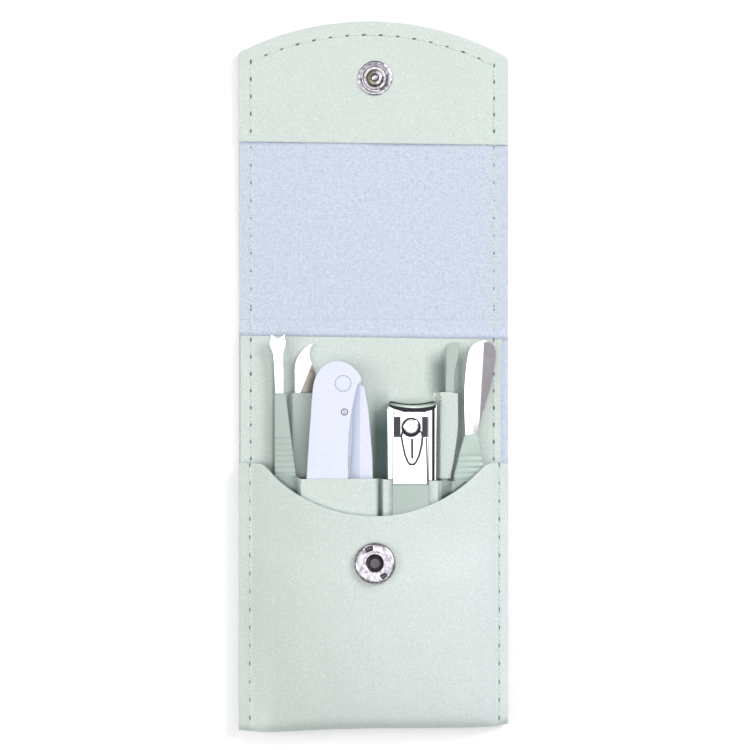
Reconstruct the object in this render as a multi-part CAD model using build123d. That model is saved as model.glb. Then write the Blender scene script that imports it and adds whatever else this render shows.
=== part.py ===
"""Folding manicure set case, open and lying on its back, with its tools in their pockets.

Millimetres. X runs across the case, Y from the bottom fold to the tip of the flap,
Z up from the surface that the case lies on. The origin is under the middle of the open case.
"""
import os
from math import asin, atan2, cos, degrees, hypot, radians, sin, sqrt, tan

from build123d import *

# Case outline
CASE_W = 75.6
CASE_BOTTOM_Y = -99.5
FLAP_TIP_Y = 99.5
FLAP_ARC_R = 80.0
FLAP_CORNER_R = 1.5

# Sheet thicknesses
COVER_T = 0.9
PADDING_T = 0.8
LINING_T = 0.3
PANEL_T = 0.6
FACING_T = 0.6

# Clearances
SOFT_GAP = 0.3
HINGE_GAP = 0.3
METAL_GAP = 0.1
PIN_GAP = 0.05

# Fold between the back and the flap
FOLD_Y = 12.14
SPINE_W = 7.0

# Front panel: flat margins, crown over the tools and bottom fold
MARGIN_W = 3.3
# Clear width between the margins for which the places across the case are given below
ROW_W = 69.0
FRONT_TOP_Y = -24.6
CROWN_Z = 11.0
SNAP_PLANE_Y = -45.0
SNAP_PLANE_END_Y = -58.5
BOTTOM_FOLD_H = 6.6
SCOOP_R = 40.9
SCOOP_X = 0.15
SCOOP_DEPTH = 14.6
CROWN_HALF_W = 19.0
# Distance from the middle and share of the full crown there
CROWN_SHOULDER = [(22.0, 0.95), (27.5, 0.82), (31.5, 0.65)]
# Height of the crown on the way from the snap to the bottom fold
CROWN_PROFILE = [(-70.0, 12.4), (-82.0, 11.2), (-91.0, 9.2)]

# Pocket edges
BACK_PANEL_TOP_Y = 10.8
BACK_PANEL_LEFT_INSET = 0.4
BACK_PANEL_RIGHT_INSET = 2.0
BAND_TOP_Y = -5.0
BAND_LEFT_X = -26.2
# The bands end out of sight, under the scissors and under the clipper
LEFT_BAND_END_X = -12.0
RIGHT_BAND_RIM_X = 16.8
RIGHT_BAND_END = (12.0, -9.5)
LOWER_TOP_Y = -28.8
PANEL_BOTTOM_Y = -95.8
FACING_BOTTOM_Y = 64.7

# Press snap
SNAP_X = 0.4
SOCKET_Y = -52.3
SOCKET_D = 11.6
SOCKET_BODY_D = 9.0
SOCKET_H = 2.2
SOCKET_HOLE_D = 5.0
FLANGE_T = 0.5
STUD_D = 9.7
STUD_HEAD_D = 4.4
STUD_NECK_D = 3.9
STUD_H = 2.5
POST_D = 2.8
STUD_EYE_D = 1.5
CAP_D = 11.4
CAP_FLAT_D = 5.0
CAP_H = 0.8
EYELET_D = 8.6
EYELET_BARREL_D = 4.2
EYELET_FLANGE_T = 0.25
SPRING_WIRE_D = 0.5
SPRING_R = 3.2
SPRING_LEG_X = 2.8

# Stitching
STITCH_INSET = 3.0
ARC_STITCH_INSET = 3.8
STITCH_PITCH = 5.1
STITCH_L = 3.6
THREAD_W = 0.5
THREAD_H = 0.22

# Flat tools
BLADE_T = 1.0
HANDLE_T = 1.4
REAR_HANDLE_T = 1.2
RIDGE_PITCH = 1.65
RIDGE_W = 0.7
RIDGE_DEPTH = 0.25
TANG_L = 8.0
TANG_W = 1.8

# Cuticle trimmer
TRIMMER_AXIS_X = -26.5
TRIMMER_TIP_Y = 11.8
TRIMMER_HEAD_W = 4.9
TRIMMER_SHAFT_W = 2.7
TRIMMER_NOTCH = 2.2
TRIMMER_JOIN_Y = -5.1
TRIMMER_END_Y = -78.0
TRIMMER_HANDLE_LEFT_X = -27.7
TRIMMER_NECK_RIGHT_X = -24.6
TRIMMER_HANDLE_RIGHT_X = -21.7
TRIMMER_FLARE_Y = -27.9
TRIMMER_RIDGES_Y = -17.8

# Hooked knife
KNIFE_TIP = (-17.1, 9.0)
KNIFE_LEFT_X = -22.1
KNIFE_RIGHT_X = -16.4
KNIFE_JOIN_Y = -13.0
KNIFE_END_Y = -82.0
KNIFE_HANDLE_LEFT_X = -20.5
KNIFE_HANDLE_RIGHT_X = -16.5
KNIFE_RIDGES_Y = -24.0

# Folding scissors
SCISSORS_PLATE_T = 1.1
SCISSORS_FRONT_T = 1.2
SCISSORS_BLADE_T = 0.45
SCISSORS_APEX = (-10.2, 4.1)
SCISSORS_LEFT_X = -18.7
SCISSORS_RIGHT_X = -0.2
SCISSORS_END_Y = -54.0
SCISSORS_PIVOT = (-8.5, -2.2)
SCISSORS_PIVOT_D = 4.5
SCISSORS_SHAFT_D = 2.4
SCISSORS_RIVET = (-8.1, -10.2)
SCISSORS_RIVET_D = 2.0
SCISSORS_FRONT_CROWN = [(-3.3, -1.1), SCISSORS_APEX, (-16.5, -1.4)]
SCISSORS_FRONT_LEFT_EDGE = [(-17.3, -7.9), (SCISSORS_LEFT_X, LOWER_TOP_Y)]
SCISSORS_FRONT_RIGHT_EDGE = [(-8.2, LOWER_TOP_Y), (-6.0, -10.4), (-4.3, -2.6)]
SCISSORS_FRONT_END = [(SCISSORS_LEFT_X + 3, 0.0), (-11.5, 0.0), (-8.6, 5.0)]
SCISSORS_REAR_CROWN_Y = -3.1
SCISSORS_REAR_CROWN_X = (-4.2, -12.8)
SCISSORS_REAR_RISE = 4.2
SCISSORS_REAR_LEFT_EDGE = [(-11.4, LOWER_TOP_Y)]
SCISSORS_REAR_RIGHT_EDGE = [(SCISSORS_RIGHT_X, LOWER_TOP_Y), (-1.3, -10.4), (-2.6, SCISSORS_REAR_CROWN_Y)]
SCISSORS_REAR_END = [(-10.4, 5.0), (-7.5, 0.0), (SCISSORS_RIGHT_X - 3, 0.0)]
SCISSORS_END_R = 6.0
# Outline of a folded blade, from its pivot
SCISSORS_BLADE_OUTLINE = [
    (-2.6, 0.0),
    (-1.8, 2.4),
    (1.8, 2.4),
    (2.6, 0.0),
    (2.2, -12.0),
    (0.4, -30.0),
    (-2.2, -12.0),
]
SCISSORS_BLADE_LEAN = (-1.0, 0.6)

# Nail clipper
CLIPPER_X = 10.8
CLIPPER_W = 14.0
CLIPPER_JAW_Y = -6.9
CLIPPER_END_Y = -65.0
CLIPPER_END_W = 9.0
CLIPPER_POCKET_W = 13.6
CLIPPER_CORNER = 1.5
CLIPPER_ARM_T = 1.0
CLIPPER_GAP = 2.0
CLIPPER_HINGE_Y = -58.0
JAW_L = 3.1
JAW_BEND = 0.5
LEVER_X = 10.4
LEVER_W = 10.3
LEVER_T = 0.9
LEVER_TOP_Y = -10.1
LEVER_END_Y = -60.0
LEVER_RISE = 0.6
LEVER_CHROME_END_Y = -30.5
GRIP_T = 1.1
CLIPPER_PIN = (10.5, -14.3)
PIN_D = 2.4
PIN_HEAD_D = 4.6
PIN_HEAD_T = 0.8
CLIPPER_RIVET_Y = -61.5
CLIPPER_RIVET_D = 2.6

# Tweezers
TWEEZERS_ARM_T = 0.6
TWEEZERS_OPEN = 0.4
TWEEZERS_TOP_Y = 9.0
TWEEZERS_WELD_L = 9.0
TWEEZERS_END_Y = -76.0
TWEEZERS_WIDE_Y = -12.5
# Height, middle and width of the tweezers down to their tips
TWEEZERS_OUTLINE = [
    (TWEEZERS_TOP_Y, 22.4, 4.2),
    (5.5, 22.1, 3.6),
    (0.0, 21.5, 2.4),
    (BAND_TOP_Y, 21.5, 2.5),
    (TWEEZERS_WIDE_Y, 21.3, 3.0),
    (LOWER_TOP_Y, 19.95, 2.1),
    (TWEEZERS_END_Y, 19.95, 2.1),
]
SLIT_W = 0.6

# Pusher, which leans on the tweezers' sleeve
PUSHER_LEAN = 12.0
PUSHER_JOIN_Y = -16.5
PUSHER_NECK_LEFT_X = 25.4
PUSHER_NECK_RIGHT_X = 29.2
PUSHER_BEND = (24.1, -20.9)
PUSHER_FLARE_Y = -27.9
PUSHER_END_Y = -76.0
PUSHER_HANDLE_LEFT_X = 22.4
PUSHER_HANDLE_RIGHT_X = 31.4
PUSHER_CROWN = [(26.7, 8.0), (30.5, 9.7), (34.2, 7.6)]
PUSHER_RIGHT_EDGE = [(34.6, 6.4), (34.0, 1.5), (32.8, -4.1), (30.2, -11.6)]
PUSHER_LEFT_EDGE = [(25.2, -4.1), (25.8, 2.9)]
PUSHER_RIDGES_Y = -22.7

# Heights that the layers stack up to
HALF_W = CASE_W / 2
MARGIN_X = HALF_W - MARGIN_W
ROW_SCALE = 2 * MARGIN_X / ROW_W
LINING_Z = COVER_T + PADDING_T
LINING_TOP = LINING_Z + LINING_T
BACK_PANEL_TOP = LINING_TOP + PANEL_T
BAND_TOP = BACK_PANEL_TOP + PANEL_T
MARGIN_H = BAND_TOP + LINING_T + COVER_T
PLATE_TOP = COVER_T + LINING_T
REAR_Z = BACK_PANEL_TOP + SOFT_GAP
FRONT_ROW_Z = BAND_TOP + SOFT_GAP
KNIFE_SLEEVE_IN = REAR_Z + REAR_HANDLE_T + SOFT_GAP
TWEEZERS_T = 2 * TWEEZERS_ARM_T + TWEEZERS_OPEN
TWEEZERS_SLEEVE_IN = REAR_Z + TWEEZERS_T + SOFT_GAP
OVER_KNIFE_Z = KNIFE_SLEEVE_IN + PANEL_T + SOFT_GAP
SCISSORS_T = SCISSORS_PLATE_T + 2 * SCISSORS_BLADE_T + SCISSORS_FRONT_T
LEAN_DROP = tan(radians(PUSHER_LEAN))
TWEEZERS_WIDEST = TWEEZERS_OUTLINE[4][1] + TWEEZERS_OUTLINE[4][2] / 2
SLEEVE_REACH = ROW_SCALE * (TWEEZERS_WIDEST - PUSHER_HANDLE_LEFT_X) + SOFT_GAP + PANEL_T
PUSHER_Z = TWEEZERS_SLEEVE_IN + PANEL_T + SOFT_GAP + SLEEVE_REACH * LEAN_DROP
UPPER_ARM_Z = FRONT_ROW_Z + CLIPPER_ARM_T
UPPER_ARM_TOP = UPPER_ARM_Z + CLIPPER_GAP + CLIPPER_ARM_T
LEVER_Z = UPPER_ARM_TOP + LEVER_RISE

# Closing geometry: the spine turns a right angle, then the flap slopes up to the snap
HINGE_Z = PLATE_TOP
FLAP_HINGE_Y = FOLD_Y + SPINE_W
SNAP_STACK = SOCKET_H + FLANGE_T + METAL_GAP + FACING_T
REACH = FOLD_Y - SNAP_PLANE_Y
CLIMB = CROWN_Z - HINGE_Z - SPINE_W
SLOPE = asin(SNAP_STACK / hypot(REACH, CLIMB)) + atan2(CLIMB, REACH)
STUD_REACH = (FOLD_Y - SOCKET_Y - SNAP_STACK * sin(SLOPE)) / cos(SLOPE)
STUD_Y = FLAP_HINGE_Y + STUD_REACH
SOCKET_Z = CROWN_Z + (SNAP_PLANE_Y - SOCKET_Y) * tan(SLOPE)
SNAP_PLANE_END_Z = CROWN_Z + (SNAP_PLANE_Y - SNAP_PLANE_END_Y) * tan(SLOPE)

# The open flap rests on its cap, so it tilts up by this angle
CAP_REACH = STUD_REACH - CAP_FLAT_D / 2
CAP_DEPTH = HINGE_Z + CAP_H
REST_TILT = atan2(CAP_DEPTH, CAP_REACH) - asin(HINGE_Z / hypot(CAP_REACH, CAP_DEPTH))
FLAP_TURN = degrees(radians(90) - SLOPE - REST_TILT)

# Share of the full crown that the front panel has at each distance from the middle
CROWN_STATIONS = [(ROW_SCALE * x, share) for x, share in [(0.0, 1.0), (CROWN_HALF_W, 1.0)] + CROWN_SHOULDER]
CROWN_STATIONS += [(MARGIN_X, 0.0), (HALF_W, 0.0)]


def across(x):
    """Place across the case, fitted to the width between the margins."""
    return ROW_SCALE * x


def across_points(points):
    """Points of an outline, fitted to the width between the margins."""
    return [(across(x), y) for x, y in points]


def block(x0, x1, y0, y1, z0, z1):
    """A box between two corners."""
    middle = ((x0 + x1) / 2, (y0 + y1) / 2, (z0 + z1) / 2)
    return Pos(*middle) * Box(x1 - x0, y1 - y0, z1 - z0)


def plate(outline, z0, z1):
    """A flat plate cut to a closed outline of lines."""
    return Pos(0, 0, z0) * extrude(make_face(Polyline(*outline, close=True)), z1 - z0)


def shaped_plate(edges, z0, z1):
    """A flat plate cut to an outline of lines and arcs."""
    return Pos(0, 0, z0) * extrude(make_face(edges), z1 - z0)


def disc(x, y, z0, z1, diameter):
    """A round plate or pin standing on Z."""
    return Pos(x, y, (z0 + z1) / 2) * Cylinder(diameter / 2, z1 - z0)


def ring(outer_d, inner_d, z0, z1):
    """A flat ring about the Z axis."""
    return disc(0, 0, z0, z1, outer_d) - disc(0, 0, z0 - 1, z1 + 1, inner_d)


def upright_profile(points, x0, x1):
    """A side profile in Y and Z, carried across from x0 to x1."""
    face = make_face(Polyline(*[(x0, y, z) for y, z in points], close=True))
    return extrude(face, amount=x1 - x0, dir=(1, 0, 0))


def tilt_flap(piece):
    """Turn a piece of the flap up about the flap's fold, to rest on the cap."""
    axis = Axis((0, FLAP_HINGE_Y, HINGE_Z), (1, 0, 0))
    return piece.rotate(axis, degrees(REST_TILT))


def on_front(piece):
    """Seat a snap piece, made about its own axis, on the front panel."""
    return Pos(SNAP_X, SOCKET_Y, SOCKET_Z) * Rot(-degrees(SLOPE), 0, 0) * piece


def on_flap(piece):
    """Seat a snap piece, made about its own axis, on the inner face of the flap."""
    return tilt_flap(Pos(SNAP_X, STUD_Y, PLATE_TOP + FACING_T) * piece)


# Cover, padding and lining


def strip_section(x, share, back_low, back_high, front_low, front_high):
    """Section of one sheet that runs up the back, round the bottom fold and over the front."""
    fold_h = MARGIN_H + (BOTTOM_FOLD_H - MARGIN_H) * share
    fold_y = CASE_BOTTOM_Y + fold_h / 2
    crown = [(SNAP_PLANE_Y, CROWN_Z), (SNAP_PLANE_END_Y, SNAP_PLANE_END_Z)] + CROWN_PROFILE
    rise = [(FRONT_TOP_Y, CROWN_Z)] + crown
    front = [(y, MARGIN_H + (z - MARGIN_H) * share) for y, z in rise]
    outer_r = (fold_h - front_high - back_low) / 2
    inner_r = (fold_h - front_low - back_high) / 2
    outer = [(y, z - front_high) for y, z in front] + [(fold_y, fold_h - front_high)]
    inner = [(y, z - front_low) for y, z in front] + [(fold_y, fold_h - front_low)]
    back_y = FOLD_Y - HINGE_GAP
    edges = []
    for (y0, z0), (y1, z1) in zip(outer, outer[1:]):
        edges.append(Line((x, y0, z0), (x, y1, z1)))
    outer_mid = (x, fold_y - outer_r, back_low + outer_r)
    edges.append(ThreePointArc((x, *outer[-1]), outer_mid, (x, fold_y, back_low)))
    edges.append(Line((x, fold_y, back_low), (x, back_y, back_low)))
    edges.append(Line((x, back_y, back_low), (x, back_y, back_high)))
    edges.append(Line((x, back_y, back_high), (x, fold_y, back_high)))
    inner_mid = (x, fold_y - inner_r, back_high + inner_r)
    edges.append(ThreePointArc((x, fold_y, back_high), inner_mid, (x, *inner[-1])))
    backwards = inner[::-1]
    for (y0, z0), (y1, z1) in zip(backwards, backwards[1:]):
        edges.append(Line((x, y0, z0), (x, y1, z1)))
    edges.append(Line((x, *inner[0]), (x, *outer[0])))
    return Wire([edge.edge() for edge in edges])


def strip(back_low, back_high, front_low, front_high):
    """One sheet of the case body, with the scoop and the eyelet's hole cut in its front."""
    stations = [(-x, share) for x, share in CROWN_STATIONS[:0:-1]] + CROWN_STATIONS
    wires = [strip_section(x, share, back_low, back_high, front_low, front_high) for x, share in stations]
    body = Solid.make_loft(wires, ruled=True)
    scoop_y = FRONT_TOP_Y - SCOOP_DEPTH + SCOOP_R
    scoop = disc(SCOOP_X, scoop_y, BAND_TOP, CROWN_Z + SPINE_W, 2 * SCOOP_R)
    eyelet_hole = on_front(disc(0, 0, -COVER_T - 2 * LINING_T, LINING_T, EYELET_BARREL_D))
    return body - scoop - eyelet_hole


def outer_cover():
    return strip(0.0, COVER_T, COVER_T, 0.0)


def case_lining():
    return strip(LINING_Z, LINING_TOP, COVER_T + LINING_T, COVER_T)


def back_padding():
    return block(-HALF_W, HALF_W, PANEL_BOTTOM_Y, FOLD_Y - HINGE_GAP, COVER_T, LINING_Z)


def back_pocket_panel():
    left = BACK_PANEL_LEFT_INSET - HALF_W
    right = HALF_W - BACK_PANEL_RIGHT_INSET
    return block(left, right, PANEL_BOTTOM_Y, BACK_PANEL_TOP_Y, LINING_TOP, BACK_PANEL_TOP)


# Pockets


def sleeve(rows, z_in):
    """A raised sleeve of a band, from its inner edges at each height: outside and space."""
    wall = PANEL_T
    inside = [(left, y) for y, left, _ in rows] + [(right, y) for y, _, right in reversed(rows)]
    outside = [(left - wall, y) for y, left, _ in rows] + [(right + wall, y) for y, _, right in reversed(rows)]
    shell = plate(outside, BACK_PANEL_TOP, z_in + wall)
    space = plate(inside, BACK_PANEL_TOP, z_in)
    return shell, space


def left_pocket_band():
    """Leather band sewn over the back panel, with the knife's sleeve in it."""
    knife_right = across(KNIFE_RIGHT_X) + SOFT_GAP
    rows = [
        (BAND_TOP_Y, across(KNIFE_LEFT_X) - SOFT_GAP, knife_right),
        (LOWER_TOP_Y, across(KNIFE_HANDLE_LEFT_X) - SOFT_GAP, knife_right),
    ]
    shell, space = sleeve(rows, KNIFE_SLEEVE_IN)
    left, right = across(BAND_LEFT_X), across(LEFT_BAND_END_X)
    return block(left, right, LOWER_TOP_Y, BAND_TOP_Y, BACK_PANEL_TOP, BAND_TOP) + shell - space


def right_pocket_band():
    """Shorter band with the tweezers' sleeve, which runs in under the clipper."""
    left, right = tweezers_edges(LOWER_TOP_Y)
    widest = tweezers_edges(TWEEZERS_WIDE_Y)[1]
    rows = [
        (BAND_TOP_Y, left - SOFT_GAP, widest + SOFT_GAP),
        (TWEEZERS_WIDE_Y, left - SOFT_GAP, widest + SOFT_GAP),
        (LOWER_TOP_Y, left - SOFT_GAP, right + SOFT_GAP),
    ]
    shell, space = sleeve(rows, TWEEZERS_SLEEVE_IN)
    end_x, end_y = RIGHT_BAND_END
    rim = across_points([(RIGHT_BAND_RIM_X, BAND_TOP_Y), (end_x, end_y), (end_x, LOWER_TOP_Y)])
    flat = [(left, BAND_TOP_Y), *rim, (left, LOWER_TOP_Y)]
    return plate(flat, BACK_PANEL_TOP, BAND_TOP) + shell - space


def pocket_loops():
    """Spaces in the lower pocket: left, right, height at each of those, and bottom."""
    scissors_top = OVER_KNIFE_Z + SCISSORS_T + SOFT_GAP
    trimmer_top = OVER_KNIFE_Z + HANDLE_T + SOFT_GAP
    clipper_top = LEVER_Z - SOFT_GAP - PANEL_T
    clipper_x = across(CLIPPER_X)
    clipper_reach = across(CLIPPER_POCKET_W) / 2 + SOFT_GAP
    tweezers_left, tweezers_right = tweezers_edges(LOWER_TOP_Y)
    pusher_left = across(PUSHER_HANDLE_LEFT_X) - SOFT_GAP
    pusher_right = across(PUSHER_HANDLE_RIGHT_X) + SOFT_GAP
    pusher_top = PUSHER_Z + HANDLE_T / cos(radians(PUSHER_LEAN)) + 2 * SOFT_GAP
    pusher_low = pusher_top - (pusher_right - pusher_left) * LEAN_DROP
    spaces = [
        (across(TRIMMER_HANDLE_LEFT_X), across(TRIMMER_HANDLE_RIGHT_X), trimmer_top, TRIMMER_END_Y),
        (across(KNIFE_HANDLE_LEFT_X), across(KNIFE_HANDLE_RIGHT_X), KNIFE_SLEEVE_IN, KNIFE_END_Y),
        (across(SCISSORS_LEFT_X), across(SCISSORS_RIGHT_X) + SOFT_GAP, scissors_top, SCISSORS_END_Y),
        (clipper_x - clipper_reach - SLIT_W, clipper_x + clipper_reach - SOFT_GAP, clipper_top, CLIPPER_END_Y),
        (tweezers_left, tweezers_right, TWEEZERS_SLEEVE_IN, TWEEZERS_END_Y),
    ]
    loops = [(left - SOFT_GAP, right + SOFT_GAP, top, top, end - SOFT_GAP) for left, right, top, end in spaces]
    return loops + [(pusher_left, pusher_right, pusher_top, pusher_low, PUSHER_END_Y - SOFT_GAP)]


def loop_block(left, right, top_left, top_right, bottom):
    """A straight run of one pocket, up to the pocket's top edge."""
    base = BACK_PANEL_TOP
    outline = [(left, base), (right, base), (right, top_right), (left, top_left)]
    face = make_face(Polyline(*[(x, bottom, z) for x, z in outline], close=True))
    return extrude(face, amount=LOWER_TOP_Y - bottom, dir=(0, 1, 0))


def lower_pocket_panel():
    """Front row's pocket leather: it rises over each tool and is sewn down between and below them."""
    wall = PANEL_T
    panel = block(-HALF_W, HALF_W, PANEL_BOTTOM_Y, LOWER_TOP_Y, BACK_PANEL_TOP, BACK_PANEL_TOP + wall)
    loops = pocket_loops()
    for left, right, top_left, top_right, bottom in loops:
        panel += loop_block(left - wall, right + wall, top_left + wall, top_right + wall, bottom - wall)
    for loop in loops:
        panel -= loop_block(*loop)
    return panel


# Spine and flap


def spine_sheet(z0, z1):
    return block(-HALF_W, HALF_W, FOLD_Y + HINGE_GAP, FLAP_HINGE_Y - HINGE_GAP, z0, z1)


def flap_outline(bottom_y, inset=0.0):
    """Outline of the flap above a given height: straight sides, soft corners and an arched top."""
    half = HALF_W - inset
    tip = FLAP_TIP_Y - inset
    drop = FLAP_ARC_R - sqrt(FLAP_ARC_R**2 - half**2)
    top = ThreePointArc((half, tip - drop), (0, tip), (-half, tip - drop))
    sides = Polyline((-half, tip - drop), (-half, bottom_y), (half, bottom_y), (half, tip - drop))
    return make_face(top + sides)


def flap_sheet(bottom_y, z0, z1):
    """One sheet of the flap, with the hole for the cap's post."""
    face = flap_outline(bottom_y)
    corners = face.vertices().sort_by(Axis.Y)[2:]
    face = fillet(corners, FLAP_CORNER_R)
    sheet = Pos(0, 0, z0) * extrude(face, z1 - z0)
    sheet -= disc(SNAP_X, STUD_Y, z0 - 1, z1 + 1, POST_D)
    return tilt_flap(sheet)


def flap_cover():
    return flap_sheet(FLAP_HINGE_Y + HINGE_GAP, 0.0, COVER_T)


def flap_lining():
    return flap_sheet(FLAP_HINGE_Y + HINGE_GAP, COVER_T, PLATE_TOP)


def flap_facing():
    return flap_sheet(FACING_BOTTOM_Y, PLATE_TOP, PLATE_TOP + FACING_T)


# Press snap


def snap_socket():
    """Sprung half of the snap: flange, domed case and the groove that the spring lies in."""
    case_ring = ring(SOCKET_BODY_D, SOCKET_HOLE_D, FLANGE_T, SOCKET_H)
    flange = ring(SOCKET_D, SOCKET_HOLE_D, 0.0, FLANGE_T)
    outer_edges = case_ring.edges().filter_by(GeomType.CIRCLE).group_by(Axis.Z)[-1].sort_by(SortBy.LENGTH)
    case_ring = fillet(outer_edges[-1], FLANGE_T)
    groove_half = SPRING_WIRE_D / 2 + METAL_GAP
    groove_d = 2 * (SPRING_R + groove_half)
    spring_z = (FLANGE_T + SOCKET_H) / 2
    groove = disc(0, 0, spring_z - groove_half, spring_z + groove_half, groove_d)
    return on_front(flange + case_ring - groove)


def snap_spring():
    """Spring wire with a leg at each side of the hole and a bend round its back."""
    z = (FLANGE_T + SOCKET_H) / 2
    leg_y = sqrt(SPRING_R**2 - SPRING_LEG_X**2)
    start = atan2(leg_y, SPRING_LEG_X)
    bend_start = (SPRING_R * cos(start), SPRING_R * sin(start), z)
    bend_section = Plane(origin=bend_start, z_dir=(-sin(start), cos(start), 0))
    turn = 180 - 2 * degrees(start)
    wire = revolve(bend_section * Circle(SPRING_WIRE_D / 2), Axis.Z, turn)
    for x in (-SPRING_LEG_X, SPRING_LEG_X):
        wire += Pos(x, 0, z) * Rot(90, 0, 0) * Cylinder(SPRING_WIRE_D / 2, 2 * leg_y)
    return on_front(wire)


def snap_eyelet():
    """Eyelet behind the front panel: its barrel comes up through the leather into the socket."""
    depth = COVER_T + LINING_T
    flange = disc(0, 0, -depth - EYELET_FLANGE_T, -depth, EYELET_D)
    barrel = disc(0, 0, -depth, EYELET_FLANGE_T, EYELET_BARREL_D)
    bore = disc(0, 0, -depth - 1, EYELET_FLANGE_T + 1, EYELET_BARREL_D - 2 * FLANGE_T)
    return on_front(flange + barrel - bore)


def snap_stud():
    """Plain half of the snap, on the flap: flange, neck and rounded head with an eye."""
    neck_top = FLANGE_T + (STUD_H - FLANGE_T) / 3
    flange = disc(0, 0, 0, FLANGE_T, STUD_D)
    neck = disc(0, 0, FLANGE_T, neck_top, STUD_NECK_D)
    head = disc(0, 0, neck_top, STUD_H, STUD_HEAD_D)
    head = fillet(head.edges().filter_by(GeomType.CIRCLE).group_by(Axis.Z)[-1], FLANGE_T)
    bore = disc(0, 0, -1, STUD_H - FLANGE_T, POST_D)
    eye = disc(0, 0, 0, STUD_H + 1, STUD_EYE_D)
    return on_flap(flange + neck + head - bore - eye)


def snap_cap():
    """Cap on the outside of the flap, with the post that rivets the stud."""
    cap_top = -PLATE_TOP - FACING_T
    dome = Pos(0, 0, cap_top) * Rot(180, 0, 0) * Cone(
        CAP_D / 2, CAP_FLAT_D / 2, CAP_H, align=(Align.CENTER, Align.CENTER, Align.MIN)
    )
    post = disc(0, 0, cap_top, STUD_H - FLANGE_T, POST_D)
    post -= disc(0, 0, 0, STUD_H, STUD_EYE_D)
    return on_flap(dome + post)


# Stitching


def thread(x, y, z, angle):
    """One visible stitch, lying along the given direction."""
    return Pos(x, y, z + THREAD_H / 2) * Rot(0, 0, angle) * Box(STITCH_L, THREAD_W, THREAD_H)


def side_stitches(x, y0, y1, z):
    """Stitches along a side, evenly spaced between two heights on one face."""
    count = max(1, round((y1 - y0) / STITCH_PITCH))
    step = (y1 - y0) / count
    return [thread(x, y0 + (i + 0.5) * step, z, 90) for i in range(count)]


def body_stitching(x):
    """Stitches of one side of the case body, over the front, the back panel and the lining."""
    stitches = side_stitches(x, PANEL_BOTTOM_Y, FRONT_TOP_Y, MARGIN_H)
    stitches += side_stitches(x, FRONT_TOP_Y, BACK_PANEL_TOP_Y, BACK_PANEL_TOP)
    return Compound(children=stitches)


def spine_stitching():
    low, high = FOLD_Y + HINGE_GAP, FLAP_HINGE_Y - HINGE_GAP
    x = HALF_W - STITCH_INSET
    return Compound(children=side_stitches(-x, low, high, PLATE_TOP) + side_stitches(x, low, high, PLATE_TOP))


def flap_stitching():
    """Stitches up both sides of the flap and round its arched top."""
    x = HALF_W - STITCH_INSET
    arc_r = FLAP_ARC_R - ARC_STITCH_INSET
    arc_y = FLAP_TIP_Y - FLAP_ARC_R
    facing_top = PLATE_TOP + FACING_T
    end_y = arc_y + sqrt(arc_r**2 - x**2) - THREAD_W
    stitches = []
    for side in (-x, x):
        stitches += side_stitches(side, FLAP_HINGE_Y + HINGE_GAP, FACING_BOTTOM_Y, PLATE_TOP)
        stitches += side_stitches(side, FACING_BOTTOM_Y, end_y, facing_top)
    half_angle = degrees(asin((x - STITCH_L / 2) / arc_r))
    count = round(2 * radians(half_angle) * arc_r / STITCH_PITCH)
    for i in range(count):
        angle = -half_angle + (i + 0.5) * 2 * half_angle / count
        across = arc_r * sin(radians(angle))
        along = arc_y + arc_r * cos(radians(angle))
        stitches.append(thread(across, along, facing_top, -angle))
    return Compound(children=[tilt_flap(stitch) for stitch in stitches])


# Flat tools


def ridges(handle, x0, x1, y_first, count, top):
    """Cut a row of grip grooves across the top of a handle."""
    for i in range(count):
        y = y_first - i * RIDGE_PITCH
        handle -= block(x0 - 1, x1 + 1, y - RIDGE_W / 2, y + RIDGE_W / 2, top - RIDGE_DEPTH, top + 1)
    return handle


def tang(x, join_y, z):
    """Tail of a blade, let into its handle."""
    return block(x - TANG_W / 2, x + TANG_W / 2, join_y - TANG_L, join_y, z, z + BLADE_T)


def trimmer_tang():
    middle = across((TRIMMER_HANDLE_LEFT_X + TRIMMER_NECK_RIGHT_X) / 2)
    return tang(middle, TRIMMER_JOIN_Y, OVER_KNIFE_Z + (HANDLE_T - BLADE_T) / 2)


def trimmer_blade():
    """Forked cuticle trimmer: thin shaft, flared head and a V between two horns."""
    axis, half, shaft = across(TRIMMER_AXIS_X), TRIMMER_HEAD_W / 2, TRIMMER_SHAFT_W / 2
    horn_y, head_y, shaft_y = TRIMMER_TIP_Y, TRIMMER_TIP_Y - 3.0, TRIMMER_TIP_Y - 6.3
    outline = [
        (axis - shaft, TRIMMER_JOIN_Y),
        (axis - shaft, shaft_y),
        (axis - half, head_y),
        (axis - half * 0.86, horn_y),
        (axis, horn_y - TRIMMER_NOTCH),
        (axis + half * 0.86, horn_y),
        (axis + half, head_y),
        (axis + shaft, shaft_y),
        (axis + shaft, TRIMMER_JOIN_Y),
    ]
    z = OVER_KNIFE_Z + (HANDLE_T - BLADE_T) / 2
    return plate(outline, z, z + BLADE_T) + trimmer_tang()


def trimmer_handle():
    end = 5.0
    left, right = across(TRIMMER_HANDLE_LEFT_X), across(TRIMMER_HANDLE_RIGHT_X)
    outline = [
        (left, TRIMMER_JOIN_Y),
        (across(TRIMMER_NECK_RIGHT_X), TRIMMER_JOIN_Y),
        (right, TRIMMER_FLARE_Y),
        (right, TRIMMER_END_Y + end),
        (right - 1.5, TRIMMER_END_Y),
        (left + 1.5, TRIMMER_END_Y),
        (left, TRIMMER_END_Y + end),
    ]
    top = OVER_KNIFE_Z + HANDLE_T
    handle = plate(outline, OVER_KNIFE_Z, top) - trimmer_tang()
    return ridges(handle, left, right, TRIMMER_RIDGES_Y, 12, top)


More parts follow.
